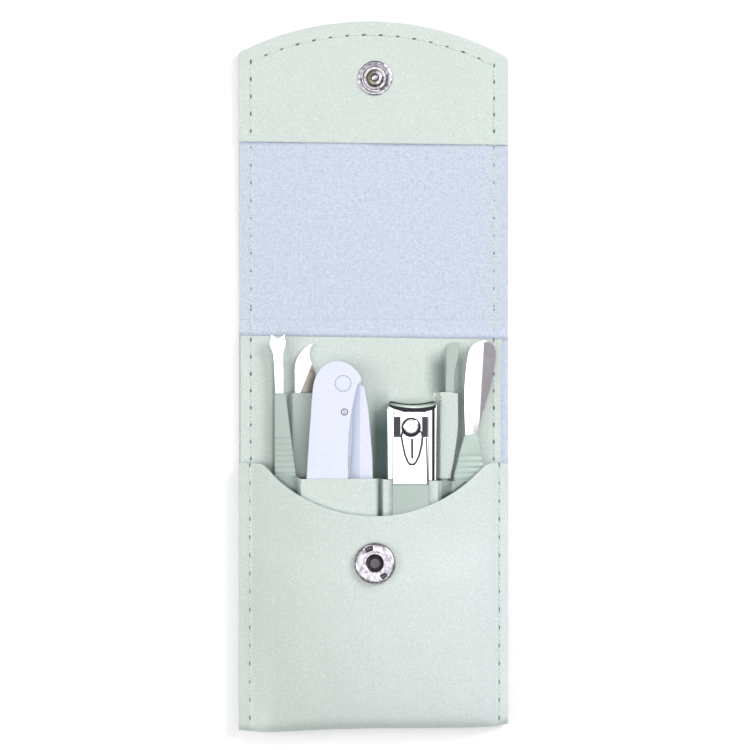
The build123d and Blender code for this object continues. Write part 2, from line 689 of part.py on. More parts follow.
def knife_tang():
    middle = across((KNIFE_HANDLE_LEFT_X + KNIFE_HANDLE_RIGHT_X) / 2)
    return tang(middle, KNIFE_JOIN_Y, REAR_Z + (REAR_HANDLE_T - BLADE_T) / 2)


def knife_blade():
    """Hooked cuticle knife: its back curves over to a point, and its edge is hollow."""
    left, right = across(KNIFE_LEFT_X), across(KNIFE_RIGHT_X)
    tip_x, tip_y = across(KNIFE_TIP[0]), KNIFE_TIP[1]
    back = ThreePointArc((left, 1.0), (left + 1.3, 6.2), (tip_x, tip_y))
    edge = ThreePointArc((tip_x, tip_y), (tip_x - 0.6, 4.4), (right, 1.0))
    body = Polyline(
        (right, 1.0),
        (right, KNIFE_JOIN_Y),
        (across(KNIFE_HANDLE_LEFT_X), KNIFE_JOIN_Y),
        (left, -5.6),
        (left, 1.0),
    )
    z = REAR_Z + (REAR_HANDLE_T - BLADE_T) / 2
    blade = shaped_plate(back + edge + body, z, z + BLADE_T)
    return blade + knife_tang()


def knife_handle():
    left, right = across(KNIFE_HANDLE_LEFT_X), across(KNIFE_HANDLE_RIGHT_X)
    outline = [
        (left, KNIFE_JOIN_Y),
        (right, KNIFE_JOIN_Y),
        (right, KNIFE_END_Y + 3),
        (right - 1, KNIFE_END_Y),
        (left + 1, KNIFE_END_Y),
        (left, KNIFE_END_Y + 3),
    ]
    top = REAR_Z + REAR_HANDLE_T
    handle = plate(outline, REAR_Z, top) - knife_tang()
    return ridges(handle, left, right, KNIFE_RIDGES_Y, 12, top)


def lean_pusher(piece):
    """Lean a flat piece of the pusher against the sleeve, right side down."""
    axis = Axis((across(PUSHER_HANDLE_LEFT_X), 0, PUSHER_Z), (0, 1, 0))
    return piece.rotate(axis, PUSHER_LEAN)


def pusher_tang():
    middle = across((PUSHER_NECK_LEFT_X + PUSHER_NECK_RIGHT_X) / 2)
    return tang(middle, PUSHER_JOIN_Y, PUSHER_Z + (HANDLE_T - BLADE_T) / 2)


def pusher_blade():
    """Cuticle pusher: a broad spade with a rounded end, narrowing to the handle."""
    neck = [(PUSHER_NECK_RIGHT_X, PUSHER_JOIN_Y), (PUSHER_NECK_LEFT_X, PUSHER_JOIN_Y)]
    crown = across_points(PUSHER_CROWN)
    sides = across_points([*PUSHER_RIGHT_EDGE, *neck, *PUSHER_LEFT_EDGE])
    body = Polyline(crown[-1], *sides, crown[0])
    z = PUSHER_Z + (HANDLE_T - BLADE_T) / 2
    return lean_pusher(shaped_plate(ThreePointArc(*crown) + body, z, z + BLADE_T) + pusher_tang())


def pusher_handle():
    left, right = across(PUSHER_HANDLE_LEFT_X), across(PUSHER_HANDLE_RIGHT_X)
    outline = [
        (across(PUSHER_NECK_LEFT_X), PUSHER_JOIN_Y),
        (across(PUSHER_NECK_RIGHT_X), PUSHER_JOIN_Y),
        (right, PUSHER_FLARE_Y),
        (right, PUSHER_END_Y + 5),
        (right - 2, PUSHER_END_Y),
        (left + 2, PUSHER_END_Y),
        (left, PUSHER_END_Y + 5),
        (left, PUSHER_FLARE_Y),
        (across(PUSHER_BEND[0]), PUSHER_BEND[1]),
    ]
    top = PUSHER_Z + HANDLE_T
    handle = plate(outline, PUSHER_Z, top) - pusher_tang()
    return lean_pusher(ridges(handle, left, right, PUSHER_RIDGES_Y, 10, top))


# Tweezers

def tweezers_edges(y):
    """Left and right edge of the tweezers at one of the heights in their outline."""
    for height, middle, width in TWEEZERS_OUTLINE:
        if height == y:
            return across(middle - width / 2), across(middle + width / 2)
    raise ValueError("no width is given at this height")


def tweezers_face():
    right = [(middle + width / 2, y) for y, middle, width in TWEEZERS_OUTLINE]
    left = [(middle - width / 2, y) for y, middle, width in reversed(TWEEZERS_OUTLINE)]
    return across_points(right + left)


def tweezers_part(profile):
    """A piece of the tweezers from its side profile about their middle plane."""
    middle = REAR_Z + TWEEZERS_T / 2
    side = upright_profile([(y, middle + z) for y, z in profile], 0.0, HALF_W)
    return side & plate(tweezers_face(), 0.0, CROWN_Z)


def tweezers_rear_arm():
    """Rear arm with the welded end that carries the other arm."""
    weld_y, bow_y = tweezers_heights()
    half_open, arm = TWEEZERS_OPEN / 2, TWEEZERS_ARM_T
    return tweezers_part(
        [
            (TWEEZERS_TOP_Y, -arm),
            (TWEEZERS_TOP_Y, arm),
            (weld_y, arm),
            (weld_y, 0.0),
            (bow_y, -half_open),
            (TWEEZERS_END_Y, -half_open),
            (TWEEZERS_END_Y, -half_open - arm),
            (bow_y, -half_open - arm),
            (weld_y, -arm),
        ]
    )


def tweezers_front_arm():
    """Front arm, which bends in at the welded end."""
    weld_y, bow_y = tweezers_heights()
    half_open, arm = TWEEZERS_OPEN / 2, TWEEZERS_ARM_T
    return tweezers_part(
        [
            (weld_y, 0.0),
            (weld_y, arm),
            (bow_y, half_open + arm),
            (TWEEZERS_END_Y, half_open + arm),
            (TWEEZERS_END_Y, half_open),
            (bow_y, half_open),
        ]
    )


def tweezers_heights():
    """Where the weld ends, and where the arms stand fully apart."""
    weld_y = TWEEZERS_TOP_Y - TWEEZERS_WELD_L
    return weld_y, weld_y - 2 * TWEEZERS_WELD_L


# Scissors


def scissors_layers():
    """Bottom heights of the rear plate, the two blades and the front plate, and the top."""
    rear = OVER_KNIFE_Z
    first = rear + SCISSORS_PLATE_T
    second = first + SCISSORS_BLADE_T
    front = second + SCISSORS_BLADE_T
    return rear, first, second, front, front + SCISSORS_FRONT_T


def scissors_pivot_at():
    return across(SCISSORS_PIVOT[0]), SCISSORS_PIVOT[1]


def scissors_rivet_at():
    return across(SCISSORS_RIVET[0]), SCISSORS_RIVET[1]


def scissors_pivot_hole():
    low, high = OVER_KNIFE_Z - 1, OVER_KNIFE_Z + SCISSORS_T + 1
    return disc(*scissors_pivot_at(), low, high, SCISSORS_SHAFT_D)


def scissors_front_handle():
    """Front plate: round at the pivot, with a long straight outer edge."""
    low, high = scissors_layers()[3:]
    end = [(x, SCISSORS_END_Y + y) for x, y in SCISSORS_FRONT_END]
    side = [SCISSORS_FRONT_CROWN[-1], *SCISSORS_FRONT_LEFT_EDGE]
    side.append((SCISSORS_LEFT_X, SCISSORS_END_Y + SCISSORS_END_R))
    body = Polyline(*across_points([*side, *end, *SCISSORS_FRONT_RIGHT_EDGE, SCISSORS_FRONT_CROWN[0]]))
    crown = ThreePointArc(*across_points(SCISSORS_FRONT_CROWN))
    handle = shaped_plate(crown + body, low, high) - scissors_pivot_hole()
    handle -= disc(*scissors_pivot_at(), high - SCISSORS_BLADE_T, high + 1, SCISSORS_PIVOT_D)
    return handle - disc(*scissors_rivet_at(), low - 1, high + 1, SCISSORS_RIVET_D)


def scissors_rear_handle():
    """Rear plate: shows along the right of the front plate."""
    low, high = scissors_layers()[:2]
    pivot_x, pivot_y = SCISSORS_PIVOT
    right, left = [(x, SCISSORS_REAR_CROWN_Y) for x in SCISSORS_REAR_CROWN_X]
    crown = ThreePointArc(*across_points([right, (pivot_x, pivot_y + SCISSORS_REAR_RISE), left]))
    end = [(x, SCISSORS_END_Y + y) for x, y in SCISSORS_REAR_END]
    end.append((SCISSORS_RIGHT_X, SCISSORS_END_Y + SCISSORS_END_R))
    body = Polyline(*across_points([left, *SCISSORS_REAR_LEFT_EDGE, *end, *SCISSORS_REAR_RIGHT_EDGE, right]))
    handle = shaped_plate(crown + body, low, high) - scissors_pivot_hole()
    return handle - disc(rear_rivet_x(), SCISSORS_RIVET[1], low - 1, high + 1, SCISSORS_RIVET_D)


def rear_rivet_x():
    """The rear plate's rivet lies across from the front plate's one."""
    return across(2 * SCISSORS_PIVOT[0] - SCISSORS_RIVET[0])


def scissors_blade(layer, lean):
    """One folded blade, from the pivot down between the plates to its point."""
    low = scissors_layers()[layer]
    pivot_x, pivot_y = scissors_pivot_at()
    longest = -min(y for _, y in SCISSORS_BLADE_OUTLINE)
    outline = []
    for x, y in SCISSORS_BLADE_OUTLINE:
        shift = lean * 2 * max(0.0, -y) / longest
        outline.append((pivot_x + x + shift, pivot_y + y))
    return plate(outline, low, low + SCISSORS_BLADE_T) - scissors_pivot_hole()


def scissors_pivot():
    """Pivot rivet through both plates and both blades, with a broad flush head."""
    top = OVER_KNIFE_Z + SCISSORS_T
    shaft = disc(*scissors_pivot_at(), OVER_KNIFE_Z, top - SCISSORS_BLADE_T, SCISSORS_SHAFT_D)
    return shaft + disc(*scissors_pivot_at(), top - SCISSORS_BLADE_T, top, SCISSORS_PIVOT_D)


def scissors_rivets():
    """Small handle rivets, one flush in each plate."""
    rear, first, _, front, top = scissors_layers()
    front_rivet = disc(*scissors_rivet_at(), front, top, SCISSORS_RIVET_D)
    rear_rivet = disc(rear_rivet_x(), SCISSORS_RIVET[1], rear, first, SCISSORS_RIVET_D)
    return Compound(children=[front_rivet, rear_rivet])


# Nail clipper


def clipper_outline():
    jaw, pocket, end = CLIPPER_W / 2, CLIPPER_POCKET_W / 2, CLIPPER_END_W / 2
    corner = CLIPPER_CORNER
    right = [
        (jaw - corner, CLIPPER_JAW_Y),
        (jaw, CLIPPER_JAW_Y - corner / 2),
        (pocket, LOWER_TOP_Y),
        (end, CLIPPER_END_Y + corner),
        (end - corner, CLIPPER_END_Y),
    ]
    left = [(-x, y) for x, y in reversed(right)]
    return across_points([(CLIPPER_X + x, y) for x, y in right + left])


def clipper_pin_at():
    return across(CLIPPER_PIN[0]), CLIPPER_PIN[1]


def clipper_rivet_at():
    return across(CLIPPER_X), CLIPPER_RIVET_Y


def clipper_arm(profile):
    arm = upright_profile(profile, -HALF_W, HALF_W)
    return arm & plate(clipper_outline(), 0.0, CROWN_Z)


def clipper_lower_arm():
    low, high = FRONT_ROW_Z, FRONT_ROW_Z + CLIPPER_ARM_T
    jaw_y = CLIPPER_JAW_Y - JAW_L
    arm = clipper_arm(
        [
            (CLIPPER_END_Y, low),
            (jaw_y, low),
            (CLIPPER_JAW_Y, low + JAW_BEND),
            (CLIPPER_JAW_Y, high + JAW_BEND),
            (jaw_y, high),
            (CLIPPER_END_Y, high),
        ]
    )
    arm -= disc(*clipper_pin_at(), low - 1, high + 1, PIN_D)
    return arm - disc(*clipper_rivet_at(), low - 1, high + 1, CLIPPER_RIVET_D)


def clipper_upper_arm():
    """Sprung arm: on the lower arm at the rivet, rising to the jaws, with a loose hole for the pin."""
    low, high = UPPER_ARM_Z, UPPER_ARM_Z + CLIPPER_ARM_T
    jaw_y = CLIPPER_JAW_Y - JAW_L
    arm = clipper_arm(
        [
            (CLIPPER_END_Y, low),
            (CLIPPER_HINGE_Y, low),
            (jaw_y, low + CLIPPER_GAP),
            (CLIPPER_JAW_Y, low + CLIPPER_GAP - JAW_BEND),
            (CLIPPER_JAW_Y, high + CLIPPER_GAP - JAW_BEND),
            (jaw_y, high + CLIPPER_GAP),
            (CLIPPER_HINGE_Y, high),
            (CLIPPER_END_Y, high),
        ]
    )
    arm -= disc(*clipper_pin_at(), low, high + CLIPPER_GAP + 1, PIN_D + 2 * SOFT_GAP)
    return arm - disc(*clipper_rivet_at(), low - 1, high + 1, CLIPPER_RIVET_D + 4 * PIN_GAP)


def clipper_rivet():
    return disc(*clipper_rivet_at(), FRONT_ROW_Z, UPPER_ARM_Z + CLIPPER_ARM_T, CLIPPER_RIVET_D)


def clipper_pin():
    """Pin that the lever turns on: up through both arms to its round head."""
    lever_top = LEVER_Z + LEVER_T
    shaft = disc(*clipper_pin_at(), FRONT_ROW_Z, lever_top, PIN_D)
    head = disc(*clipper_pin_at(), lever_top, lever_top + PIN_HEAD_T, PIN_HEAD_D)
    return shaft + fillet(head.edges().filter_by(GeomType.CIRCLE).group_by(Axis.Z)[-1], PIN_HEAD_T / 2)


def lever_tail():
    """Thin tail of the lever that the grip is moulded round."""
    middle_x, middle_z = across(LEVER_X), LEVER_Z + LEVER_T / 2
    half = LEVER_W / 2 - 1.5
    sides = middle_x - half, middle_x + half
    return block(*sides, LEVER_END_Y + 8, LEVER_CHROME_END_Y, middle_z - 0.2, middle_z + 0.2)


def clipper_lever():
    """Bright part of the lever: flat plate, two cam feet and a raised tongue."""
    x, half = across(LEVER_X), LEVER_W / 2
    low, high = LEVER_Z, LEVER_Z + LEVER_T
    outline = [
        (x - half, LEVER_CHROME_END_Y),
        (x - half, LEVER_TOP_Y - 1),
        (x - half + 1, LEVER_TOP_Y),
        (x + half - 1, LEVER_TOP_Y),
        (x + half, LEVER_TOP_Y - 1),
        (x + half, LEVER_CHROME_END_Y),
    ]
    lever = plate(outline, low, high)
    for side in (-1, 1):
        foot_x = x + side * (half - 1.7)
        foot = foot_x - 1.2, foot_x + 1.2, LEVER_TOP_Y - 2.6, LEVER_TOP_Y - 0.4
        lever += block(*foot, UPPER_ARM_TOP + METAL_GAP, low)
    tongue = [(x - 2.9, -17.1), (x + 2.9, -17.1), (x + 1.1, -24.7), (x - 1.1, -24.7)]
    lever += plate(tongue, high, high + RIDGE_DEPTH)
    lever -= disc(*clipper_pin_at(), UPPER_ARM_TOP, high + 1, PIN_D)
    return lever + lever_tail()


def clipper_lever_grip():
    """Coated grip round the lever's tail."""
    x, half = across(LEVER_X), LEVER_W / 2
    middle_z = LEVER_Z + LEVER_T / 2
    outline = [
        (x - half, LEVER_CHROME_END_Y),
        (x - half, LEVER_END_Y + 2.5),
        (x - half + 2, LEVER_END_Y),
        (x + half - 2, LEVER_END_Y),
        (x + half, LEVER_END_Y + 2.5),
        (x + half, LEVER_CHROME_END_Y),
    ]
    return plate(outline, middle_z - GRIP_T / 2, middle_z + GRIP_T / 2) - lever_tail()


NODES = {
    "outer_cover": outer_cover,
    "back_padding": back_padding,
    "case_lining": case_lining,
    "back_pocket_panel": back_pocket_panel,
    "left_pocket_band": left_pocket_band,
    "right_pocket_band": right_pocket_band,
    "lower_pocket_panel": lower_pocket_panel,
    "left_stitching": lambda: body_stitching(STITCH_INSET - HALF_W),
    "right_stitching": lambda: body_stitching(HALF_W - STITCH_INSET),
    "snap_socket": snap_socket,
    "snap_spring": snap_spring,
    "snap_eyelet": snap_eyelet,
    "spine_cover": lambda: spine_sheet(0.0, COVER_T),
    "spine_lining": lambda: spine_sheet(COVER_T, PLATE_TOP),
    "spine_stitching": spine_stitching,
    "flap_cover": flap_cover,
    "flap_lining": flap_lining,
    "flap_facing": flap_facing,
    "flap_stitching": flap_stitching,
    "snap_stud": snap_stud,
    "snap_cap": snap_cap,
    "trimmer_blade": trimmer_blade,
    "trimmer_handle": trimmer_handle,
    "knife_blade": knife_blade,
    "knife_handle": knife_handle,
    "scissors_front_handle": scissors_front_handle,
    "scissors_rear_handle": scissors_rear_handle,
    "scissors_blade_left": lambda: scissors_blade(1, SCISSORS_BLADE_LEAN[0]),
    "scissors_blade_right": lambda: scissors_blade(2, SCISSORS_BLADE_LEAN[1]),
    "scissors_pivot": scissors_pivot,
    "scissors_rivets": scissors_rivets,
    "clipper_lower_arm": clipper_lower_arm,
    "clipper_upper_arm": clipper_upper_arm,
    "clipper_rivet": clipper_rivet,
    "clipper_pin": clipper_pin,
    "clipper_lever": clipper_lever,
    "clipper_lever_grip": clipper_lever_grip,
    "tweezers_rear_arm": tweezers_rear_arm,
    "tweezers_front_arm": tweezers_front_arm,
    "pusher_blade": pusher_blade,
    "pusher_handle": pusher_handle,
}

os.makedirs("parts", exist_ok=True)
for name, make in NODES.items():
    export_step(make(), f"parts/{name}.step")
print(f"flap slope {degrees(SLOPE):.3f}, rest tilt {degrees(REST_TILT):.3f}, flap turn {FLAP_TURN:.3f}")
print(f"fold hinge y {FOLD_Y} z {HINGE_Z}, flap hinge y {FLAP_HINGE_Y}, stud y {STUD_Y:.3f}, socket z {SOCKET_Z:.3f}")
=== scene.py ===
"""Looks of a folding manicure set case: mint leather, woven lining, stitching, a press snap and six tools.

Lengths in the code are millimetres. Meshes are made in metres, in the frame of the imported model.
"""

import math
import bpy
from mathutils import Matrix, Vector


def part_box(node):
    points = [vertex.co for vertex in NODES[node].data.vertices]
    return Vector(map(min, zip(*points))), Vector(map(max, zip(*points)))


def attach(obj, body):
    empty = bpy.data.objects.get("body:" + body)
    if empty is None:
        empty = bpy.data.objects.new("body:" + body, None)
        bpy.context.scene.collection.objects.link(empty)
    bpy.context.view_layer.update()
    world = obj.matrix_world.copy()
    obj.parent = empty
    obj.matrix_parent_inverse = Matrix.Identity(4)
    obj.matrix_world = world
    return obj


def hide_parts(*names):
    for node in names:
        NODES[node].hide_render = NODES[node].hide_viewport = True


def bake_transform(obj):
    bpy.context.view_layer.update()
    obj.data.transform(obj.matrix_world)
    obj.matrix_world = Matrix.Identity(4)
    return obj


bl_info = {
    "name": "Manicure Set Case",
    "version": (1, 0, 0),
    "blender": (4, 5, 0),
    "location": "View3D > Sidebar > Manicure Case",
    "description": "Models the leather, cloth, stitching, snap and tools of a folding manicure set case",
    "category": "Object",
}

import bpy
from mathutils import Matrix, Vector

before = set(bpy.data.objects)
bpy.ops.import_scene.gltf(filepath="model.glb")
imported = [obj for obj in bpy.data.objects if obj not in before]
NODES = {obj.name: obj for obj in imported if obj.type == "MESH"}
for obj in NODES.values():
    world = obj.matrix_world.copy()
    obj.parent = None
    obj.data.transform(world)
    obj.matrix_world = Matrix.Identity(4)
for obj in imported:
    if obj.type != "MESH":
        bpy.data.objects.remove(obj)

MM = 0.001


def node_span(name):
    """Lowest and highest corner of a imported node, in millimetres."""
    low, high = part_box(name)
    return low / MM, high / MM


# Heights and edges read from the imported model
HINGE_GAP = 0.3
COVER_LOW, COVER_HIGH = node_span("outer_cover")
SPINE_HIGH = node_span("spine_cover")[1]
PANEL_LOW, PANEL_HIGH = node_span("back_pocket_panel")
HALF_W = COVER_HIGH.x
BOTTOM_Y = COVER_LOW.y
FOLD_Y = COVER_HIGH.y + HINGE_GAP
FLAP_Y = SPINE_HIGH.y + HINGE_GAP
SPINE_MIDDLE_Y = (FOLD_Y + FLAP_Y) / 2
COVER_T = SPINE_HIGH.z
LINING_T = node_span("spine_lining")[1].z - COVER_T
PLATE_TOP = COVER_T + LINING_T
LINING_TOP = PANEL_LOW.z
PANEL_TOP = PANEL_HIGH.z
PANEL_T = PANEL_TOP - LINING_TOP
POCKET_TOP = PANEL_TOP + PANEL_T
LEFT_BAND_TOP = node_span("left_pocket_band")[1].z
RIGHT_BAND_TOP = node_span("right_pocket_band")[1].z
BAND_TOP_Y = node_span("left_pocket_band")[1].y
LOWER_TOP_Y = node_span("lower_pocket_panel")[1].y
MARGIN_H = POCKET_TOP + LINING_T + COVER_T

# The front panel's crown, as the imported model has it
FRONT_TOP_Y = -24.6
BOTTOM_FOLD_H = 8.4
SCOOP_R = 40.9
SCOOP_X = 0.15
SCOOP_DEPTH = 14.6
SCOOP_CORNER = 0.7
SNAP_SLOPE = math.radians(6.213)
SNAP_X = 0.4
SOCKET_Y = -52.3
SOCKET_Z = 11.795

# How far the lining stays below the front's edge
LINING_INSET = 0.35

# The flap's outline and its lean on the snap's cap
FLAP_TIP_Y = 99.5
FLAP_ARC_R = 80.0
FLAP_CORNER_R = 0.6
FLAP_SKEW = 0.02
FACING_BOTTOM_Y = 65.3
FACING_T = 0.6
REST_TILT = math.radians(0.74)
STUD_Y = 83.591

STITCH_INSET = 3.0
ARC_STITCH_INSET = 3.8

# The tools: grip grooves, the deepest that a ground facet goes, and how near to a plane counts as on it
GROOVE_PITCH = 1.63
GROOVE_HALF = 0.45
GROOVE_DEPTH = 0.3
FACET_DEPTH = 0.84
NEAR = 0.02

# A facet's faces: between these upright shares of their normal, and larger than a sliver, in square metres
STEEP_NORMAL = 0.5
FLAT_NORMAL = 0.9925
SLIVER_AREA = 0.4e-6

# The scissors' pivot and rivet, the clipper's middle and lever, and the pusher's lean on its sleeve
SCISSORS_PIVOT = (-8.5, -2.2)
SCISSORS_RIVET = (-8.1, -10.2)
CLIPPER_PIN_X = 10.5
LEVER_BASE = 8.1
LEVER_TOP = 9.0
PUSHER_BASE = 5.976
PUSHER_EDGE_X = 22.4
PUSHER_LEAN = math.radians(12)

# The photo is taken from straight above: how wide the view is and how high the focus lies, in metres
VIEW_WIDTH = 0.21
FOCUS_HEIGHT = 0.006
LENS = 150.0
SENSOR = 36.0

# Strength of the world's even light
WORLD_LEVEL = 0.36


# Sizes and colours that a user would change


class ManicureCaseSizes(bpy.types.PropertyGroup):
    edge_round: bpy.props.FloatProperty(
        name="Edge Round", description="Rounding of the leather's cut edges", default=0.12 * MM, unit="LENGTH"
    )
    stitch_pitch: bpy.props.FloatProperty(
        name="Stitch Pitch", description="Distance from one needle hole to the next",
        default=5.1 * MM, unit="LENGTH",
    )
    thread_width: bpy.props.FloatProperty(
        name="Thread Width", description="Width of the sewing thread", default=0.5 * MM, unit="LENGTH"
    )
    grain_size: bpy.props.FloatProperty(
        name="Grain Size", description="Size of the leather's fine grain",
        default=0.55 * MM, unit="LENGTH",
    )
    weave_pitch: bpy.props.FloatProperty(
        name="Weave Pitch", description="Distance between threads of the lining",
        default=0.55 * MM, unit="LENGTH",
    )


class ManicureCaseColours(bpy.types.PropertyGroup):
    leather: bpy.props.FloatVectorProperty(
        name="Leather", description="Colour of the mint leather",
        subtype="COLOR", size=3, default=(0.65, 0.722, 0.678),
    )
    # Painted sheen: the leather is painted paler and bluer with this tint towards the lower right of the
    # case.
    leather_painted_sheen: bpy.props.FloatVectorProperty(
        name="Leather Sheen", description="Cooler tint of the leather",
        subtype="COLOR", size=3, default=(0.78, 0.85, 0.875),
    )
    lining: bpy.props.FloatVectorProperty(
        name="Lining", description="Main colour of the lining",
        subtype="COLOR", size=3, default=(0.67, 0.735, 0.845),
    )
    lining_dark: bpy.props.FloatVectorProperty(
        name="Lining Thread", description="Darker thread of the lining",
        subtype="COLOR", size=3, default=(0.50, 0.57, 0.69),
    )
    coating: bpy.props.FloatVectorProperty(
        name="Coating", description="Colour of the coated handles",
        subtype="COLOR", size=3, default=(0.435, 0.525, 0.48),
    )
    plastic: bpy.props.FloatVectorProperty(
        name="Plastic", description="Colour of the scissors' plates",
        subtype="COLOR", size=3, default=(0.76, 0.785, 0.94),
    )


# Small helpers for modelling


def clear_selection():
    """Leave edit mode and deselect everything."""
    if bpy.context.mode != "OBJECT":
        bpy.ops.object.mode_set(mode="OBJECT")
    bpy.ops.object.select_all(action="DESELECT")


def make_active(piece):
    clear_selection()
    piece.select_set(True)
    bpy.context.view_layer.objects.active = piece


def leave_edit():
    bpy.ops.object.mode_set(mode="OBJECT")


def select_all():
    bpy.ops.mesh.select_all(action="SELECT")


def edit_all(piece):
    """Go to edit mode with the whole piece selected."""
    make_active(piece)
    bpy.ops.object.mode_set(mode="EDIT")
    select_all()


def pick(piece, test):
    """Go to edit mode with the vertices selected for which test says yes, in millimetres."""
    leave_edit()
    mesh = piece.data
    for part in (mesh.polygons, mesh.edges):
        for element in part:
            element.select = False
    for vertex in mesh.vertices:
        vertex.select = test(vertex.co / MM)
    bpy.ops.object.mode_set(mode="EDIT")
    bpy.ops.mesh.select_mode(type="VERT")


def shift(x=0.0, y=0.0, z=0.0):
    bpy.ops.transform.translate(value=(x * MM, y * MM, z * MM))


def extrude(x=0.0, y=0.0, z=0.0):
    bpy.ops.mesh.extrude_region_move(TRANSFORM_OT_translate={"value": (x * MM, y * MM, z * MM)})


def make_outward():
    """Turn what is selected to face outward and leave edit mode."""
    bpy.ops.mesh.normals_make_consistent(inside=False)
    leave_edit()


def resize(x, y, centre):
    """Resize what is selected across and along, about a place in millimetres."""
    bpy.ops.transform.resize(value=(x, y, 1.0), center_override=tuple(Vector(centre) * MM))


def cut_along(piece, places):
    """Cut a piece with straight lines along the case, at places from left to right."""
    edit_all(piece)
    for x in places:
        select_all()
        bpy.ops.mesh.bisect(plane_co=(x * MM, 0, 0), plane_no=(1, 0, 0))


def move_to(piece, x, y):
    piece.data.transform(Matrix.Translation(Vector((x, y, 0.0)) * MM))


def raise_along(piece, rise):
    """Lift each vertex by what rise says for its place along the case, in millimetres."""
    for vertex in piece.data.vertices:
        vertex.co.z += rise(vertex.co.y / MM) * MM


def use_modifier(piece, kind, **settings):
    """Add a modifier, set it and apply it."""
    make_active(piece)
    modifier = piece.modifiers.new(kind.title(), kind)
    for name, value in settings.items():
        setattr(modifier, name, value)
    bpy.ops.object.modifier_apply(modifier=modifier.name)


def soften(piece, width, segments=2, angle=40):
    """Round the sharp edges of a piece and shade it smooth."""
    use_modifier(
        piece, "BEVEL", width=width * MM, segments=segments, limit_method="ANGLE",
        angle_limit=math.radians(angle), harden_normals=False,
    )
    bpy.ops.object.shade_smooth_by_angle(angle=math.radians(angle))


def rename(piece, name):
    piece.name = name
    piece.data.name = name
    return piece


def settle(piece, name):
    """Put a new piece's place into its mesh and name it."""
    make_active(piece)
    bpy.ops.object.transform_apply(location=True, rotation=True, scale=True)
    return rename(piece, name)


def join_pieces(pieces, name):
    clear_selection()
    for piece in pieces:
        piece.select_set(True)
    bpy.context.view_layer.objects.active = pieces[0]
    bpy.ops.object.join()
    return rename(bpy.context.object, name)


def dress(piece, body, slot, *finishes, replaced=()):
    """Give a piece its finishes, the body it moves with and the nodes it stands for."""
    piece.data.materials.clear()
    for name in finishes:
        piece.data.materials.append(finish(name))
    if body:
        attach(piece, body)
    if replaced:
        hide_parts(*replaced)
    return piece


def dress_node(name, material):
    """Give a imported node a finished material."""
    node = NODES[name]
    if not node.material_slots:
        node.data.materials.append(finish(material))
    for slot in node.material_slots:
        slot.material = finish(material)


def paint(piece, number, test):
    """Give the faces for which test says yes, by their middle in millimetres and normal, another finish."""
    for face in piece.data.polygons:
        if test(face.center / MM, face.normal):
            face.material_index = number


def spread(start, end, count):
    return [start + (end - start) * i / (count - 1) for i in range(count)]


def smooth_curve(points):
    """A smooth height through points, level outside them and never past them in between."""
    points = sorted(points)
    steps = [(b[1] - a[1]) / (b[0] - a[0]) for a, b in zip(points, points[1:])]
    inner = [2 * a * b / (a + b) if a * b > 0 else 0.0 for a, b in zip(steps, steps[1:])]
    slopes = [0.0] + inner + [0.0]

    def value(at):
        if at <= points[0][0]:
            return points[0][1]
        for i in range(len(steps)):
            (x0, y0), (x1, y1) = points[i], points[i + 1]
            if at <= x1:
                w = x1 - x0
                t = (at - x0) / w
                rise = (3 - 2 * t) * t * t
                return y0 + (y1 - y0) * rise + w * t * (1 - t) * ((1 - t) * slopes[i] - t * slopes[i + 1])
        return points[-1][1]

    return value


def step_up(at, start, end):
    """From 0 at start to 1 at end, smoothly."""
    t = min(1.0, max(0.0, (at - start) / (end - start)))
    return t * t * (3 - 2 * t)


def step_down(at, start, end):
    """From 1 at start to 0 at end, smoothly."""
    return 1 - step_up(at, start, end)


def between(at, start, full, fall, end):
    """From 0 at start up to 1 at full, level to fall, and down to 0 at end."""
    return step_up(at, start, full) * step_down(at, fall, end)


def bell(at, middle, width):
    """1 at the middle, falling off to both sides."""
    return math.exp(-(((at - middle) / width) ** 2))


# Soft sheets


def lay_sheet(name, columns, rows, place, thickness, rim, outward=1.0, depth=None):
    """A soft sheet: place(column, row) gives its outer face, and its thickness goes inward from there.

    depth(x, y) gives the painted shade of a place, from 0 to 1: the sheet is painted darker there, and
    leather painted paler below 0.
    """
    wide = len(columns)
    points = [Vector(place(u, v)) for v in rows for u in columns]
    faces = []
    for r in range(len(rows) - 1):
        for c in range(wide - 1):
            corner = r * wide + c
            faces.append((corner, corner + 1, corner + wide + 1, corner + wide))
    mesh = bpy.data.meshes.new(name)
    mesh.from_pydata([point * MM for point in points], [], faces)
    middle = wide // 2
    reach = [0.0]
    for r in range(1, len(rows)):
        reach.append(reach[-1] + (points[r * wide + middle] - points[(r - 1) * wide + middle]).length)
    weave = mesh.uv_layers.new(name="weave")
    for loop in mesh.loops:
        r = loop.vertex_index // wide
        weave.data[loop.index].uv = (points[loop.vertex_index].x * MM, reach[r] * MM)
    # Painted shade goes into an attribute of the sheet's points.
    fold = mesh.attributes.new(name="painted_shade", type="FLOAT", domain="POINT")
    if depth:
        for i, point in enumerate(points):
            fold.data[i].value = depth(point.x, point.y)
    piece = bpy.data.objects.new(name, mesh)
    bpy.context.scene.collection.objects.link(piece)
    make_active(piece)
    if mesh.polygons[0].normal.z * outward < 0:
        pick(piece, lambda point: True)
        bpy.ops.mesh.flip_normals()
    use_modifier(
        piece, "SOLIDIFY", thickness=thickness * MM, offset=-1.0, use_even_offset=False,
        use_quality_normals=True, material_offset_rim=1,
    )
    soften(piece, rim, 2, 55)
    return piece


def leather_sheet(name, columns, rows, place, thickness, body, replaced, **settings):
    """A sheet of the mint leather with its paler cut edge."""
    rim = bpy.context.scene.manicure_case_sizes.edge_round / MM
    sheet = lay_sheet(name, columns, rows, place, thickness, rim, **settings)
    return dress(sheet, body, "mint_leather", "mint_leather_finish", "leather_cut_edge", replaced=replaced)


def bend_at(sheet):
    """Put a sheet's placement into its mesh."""
    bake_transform(sheet)


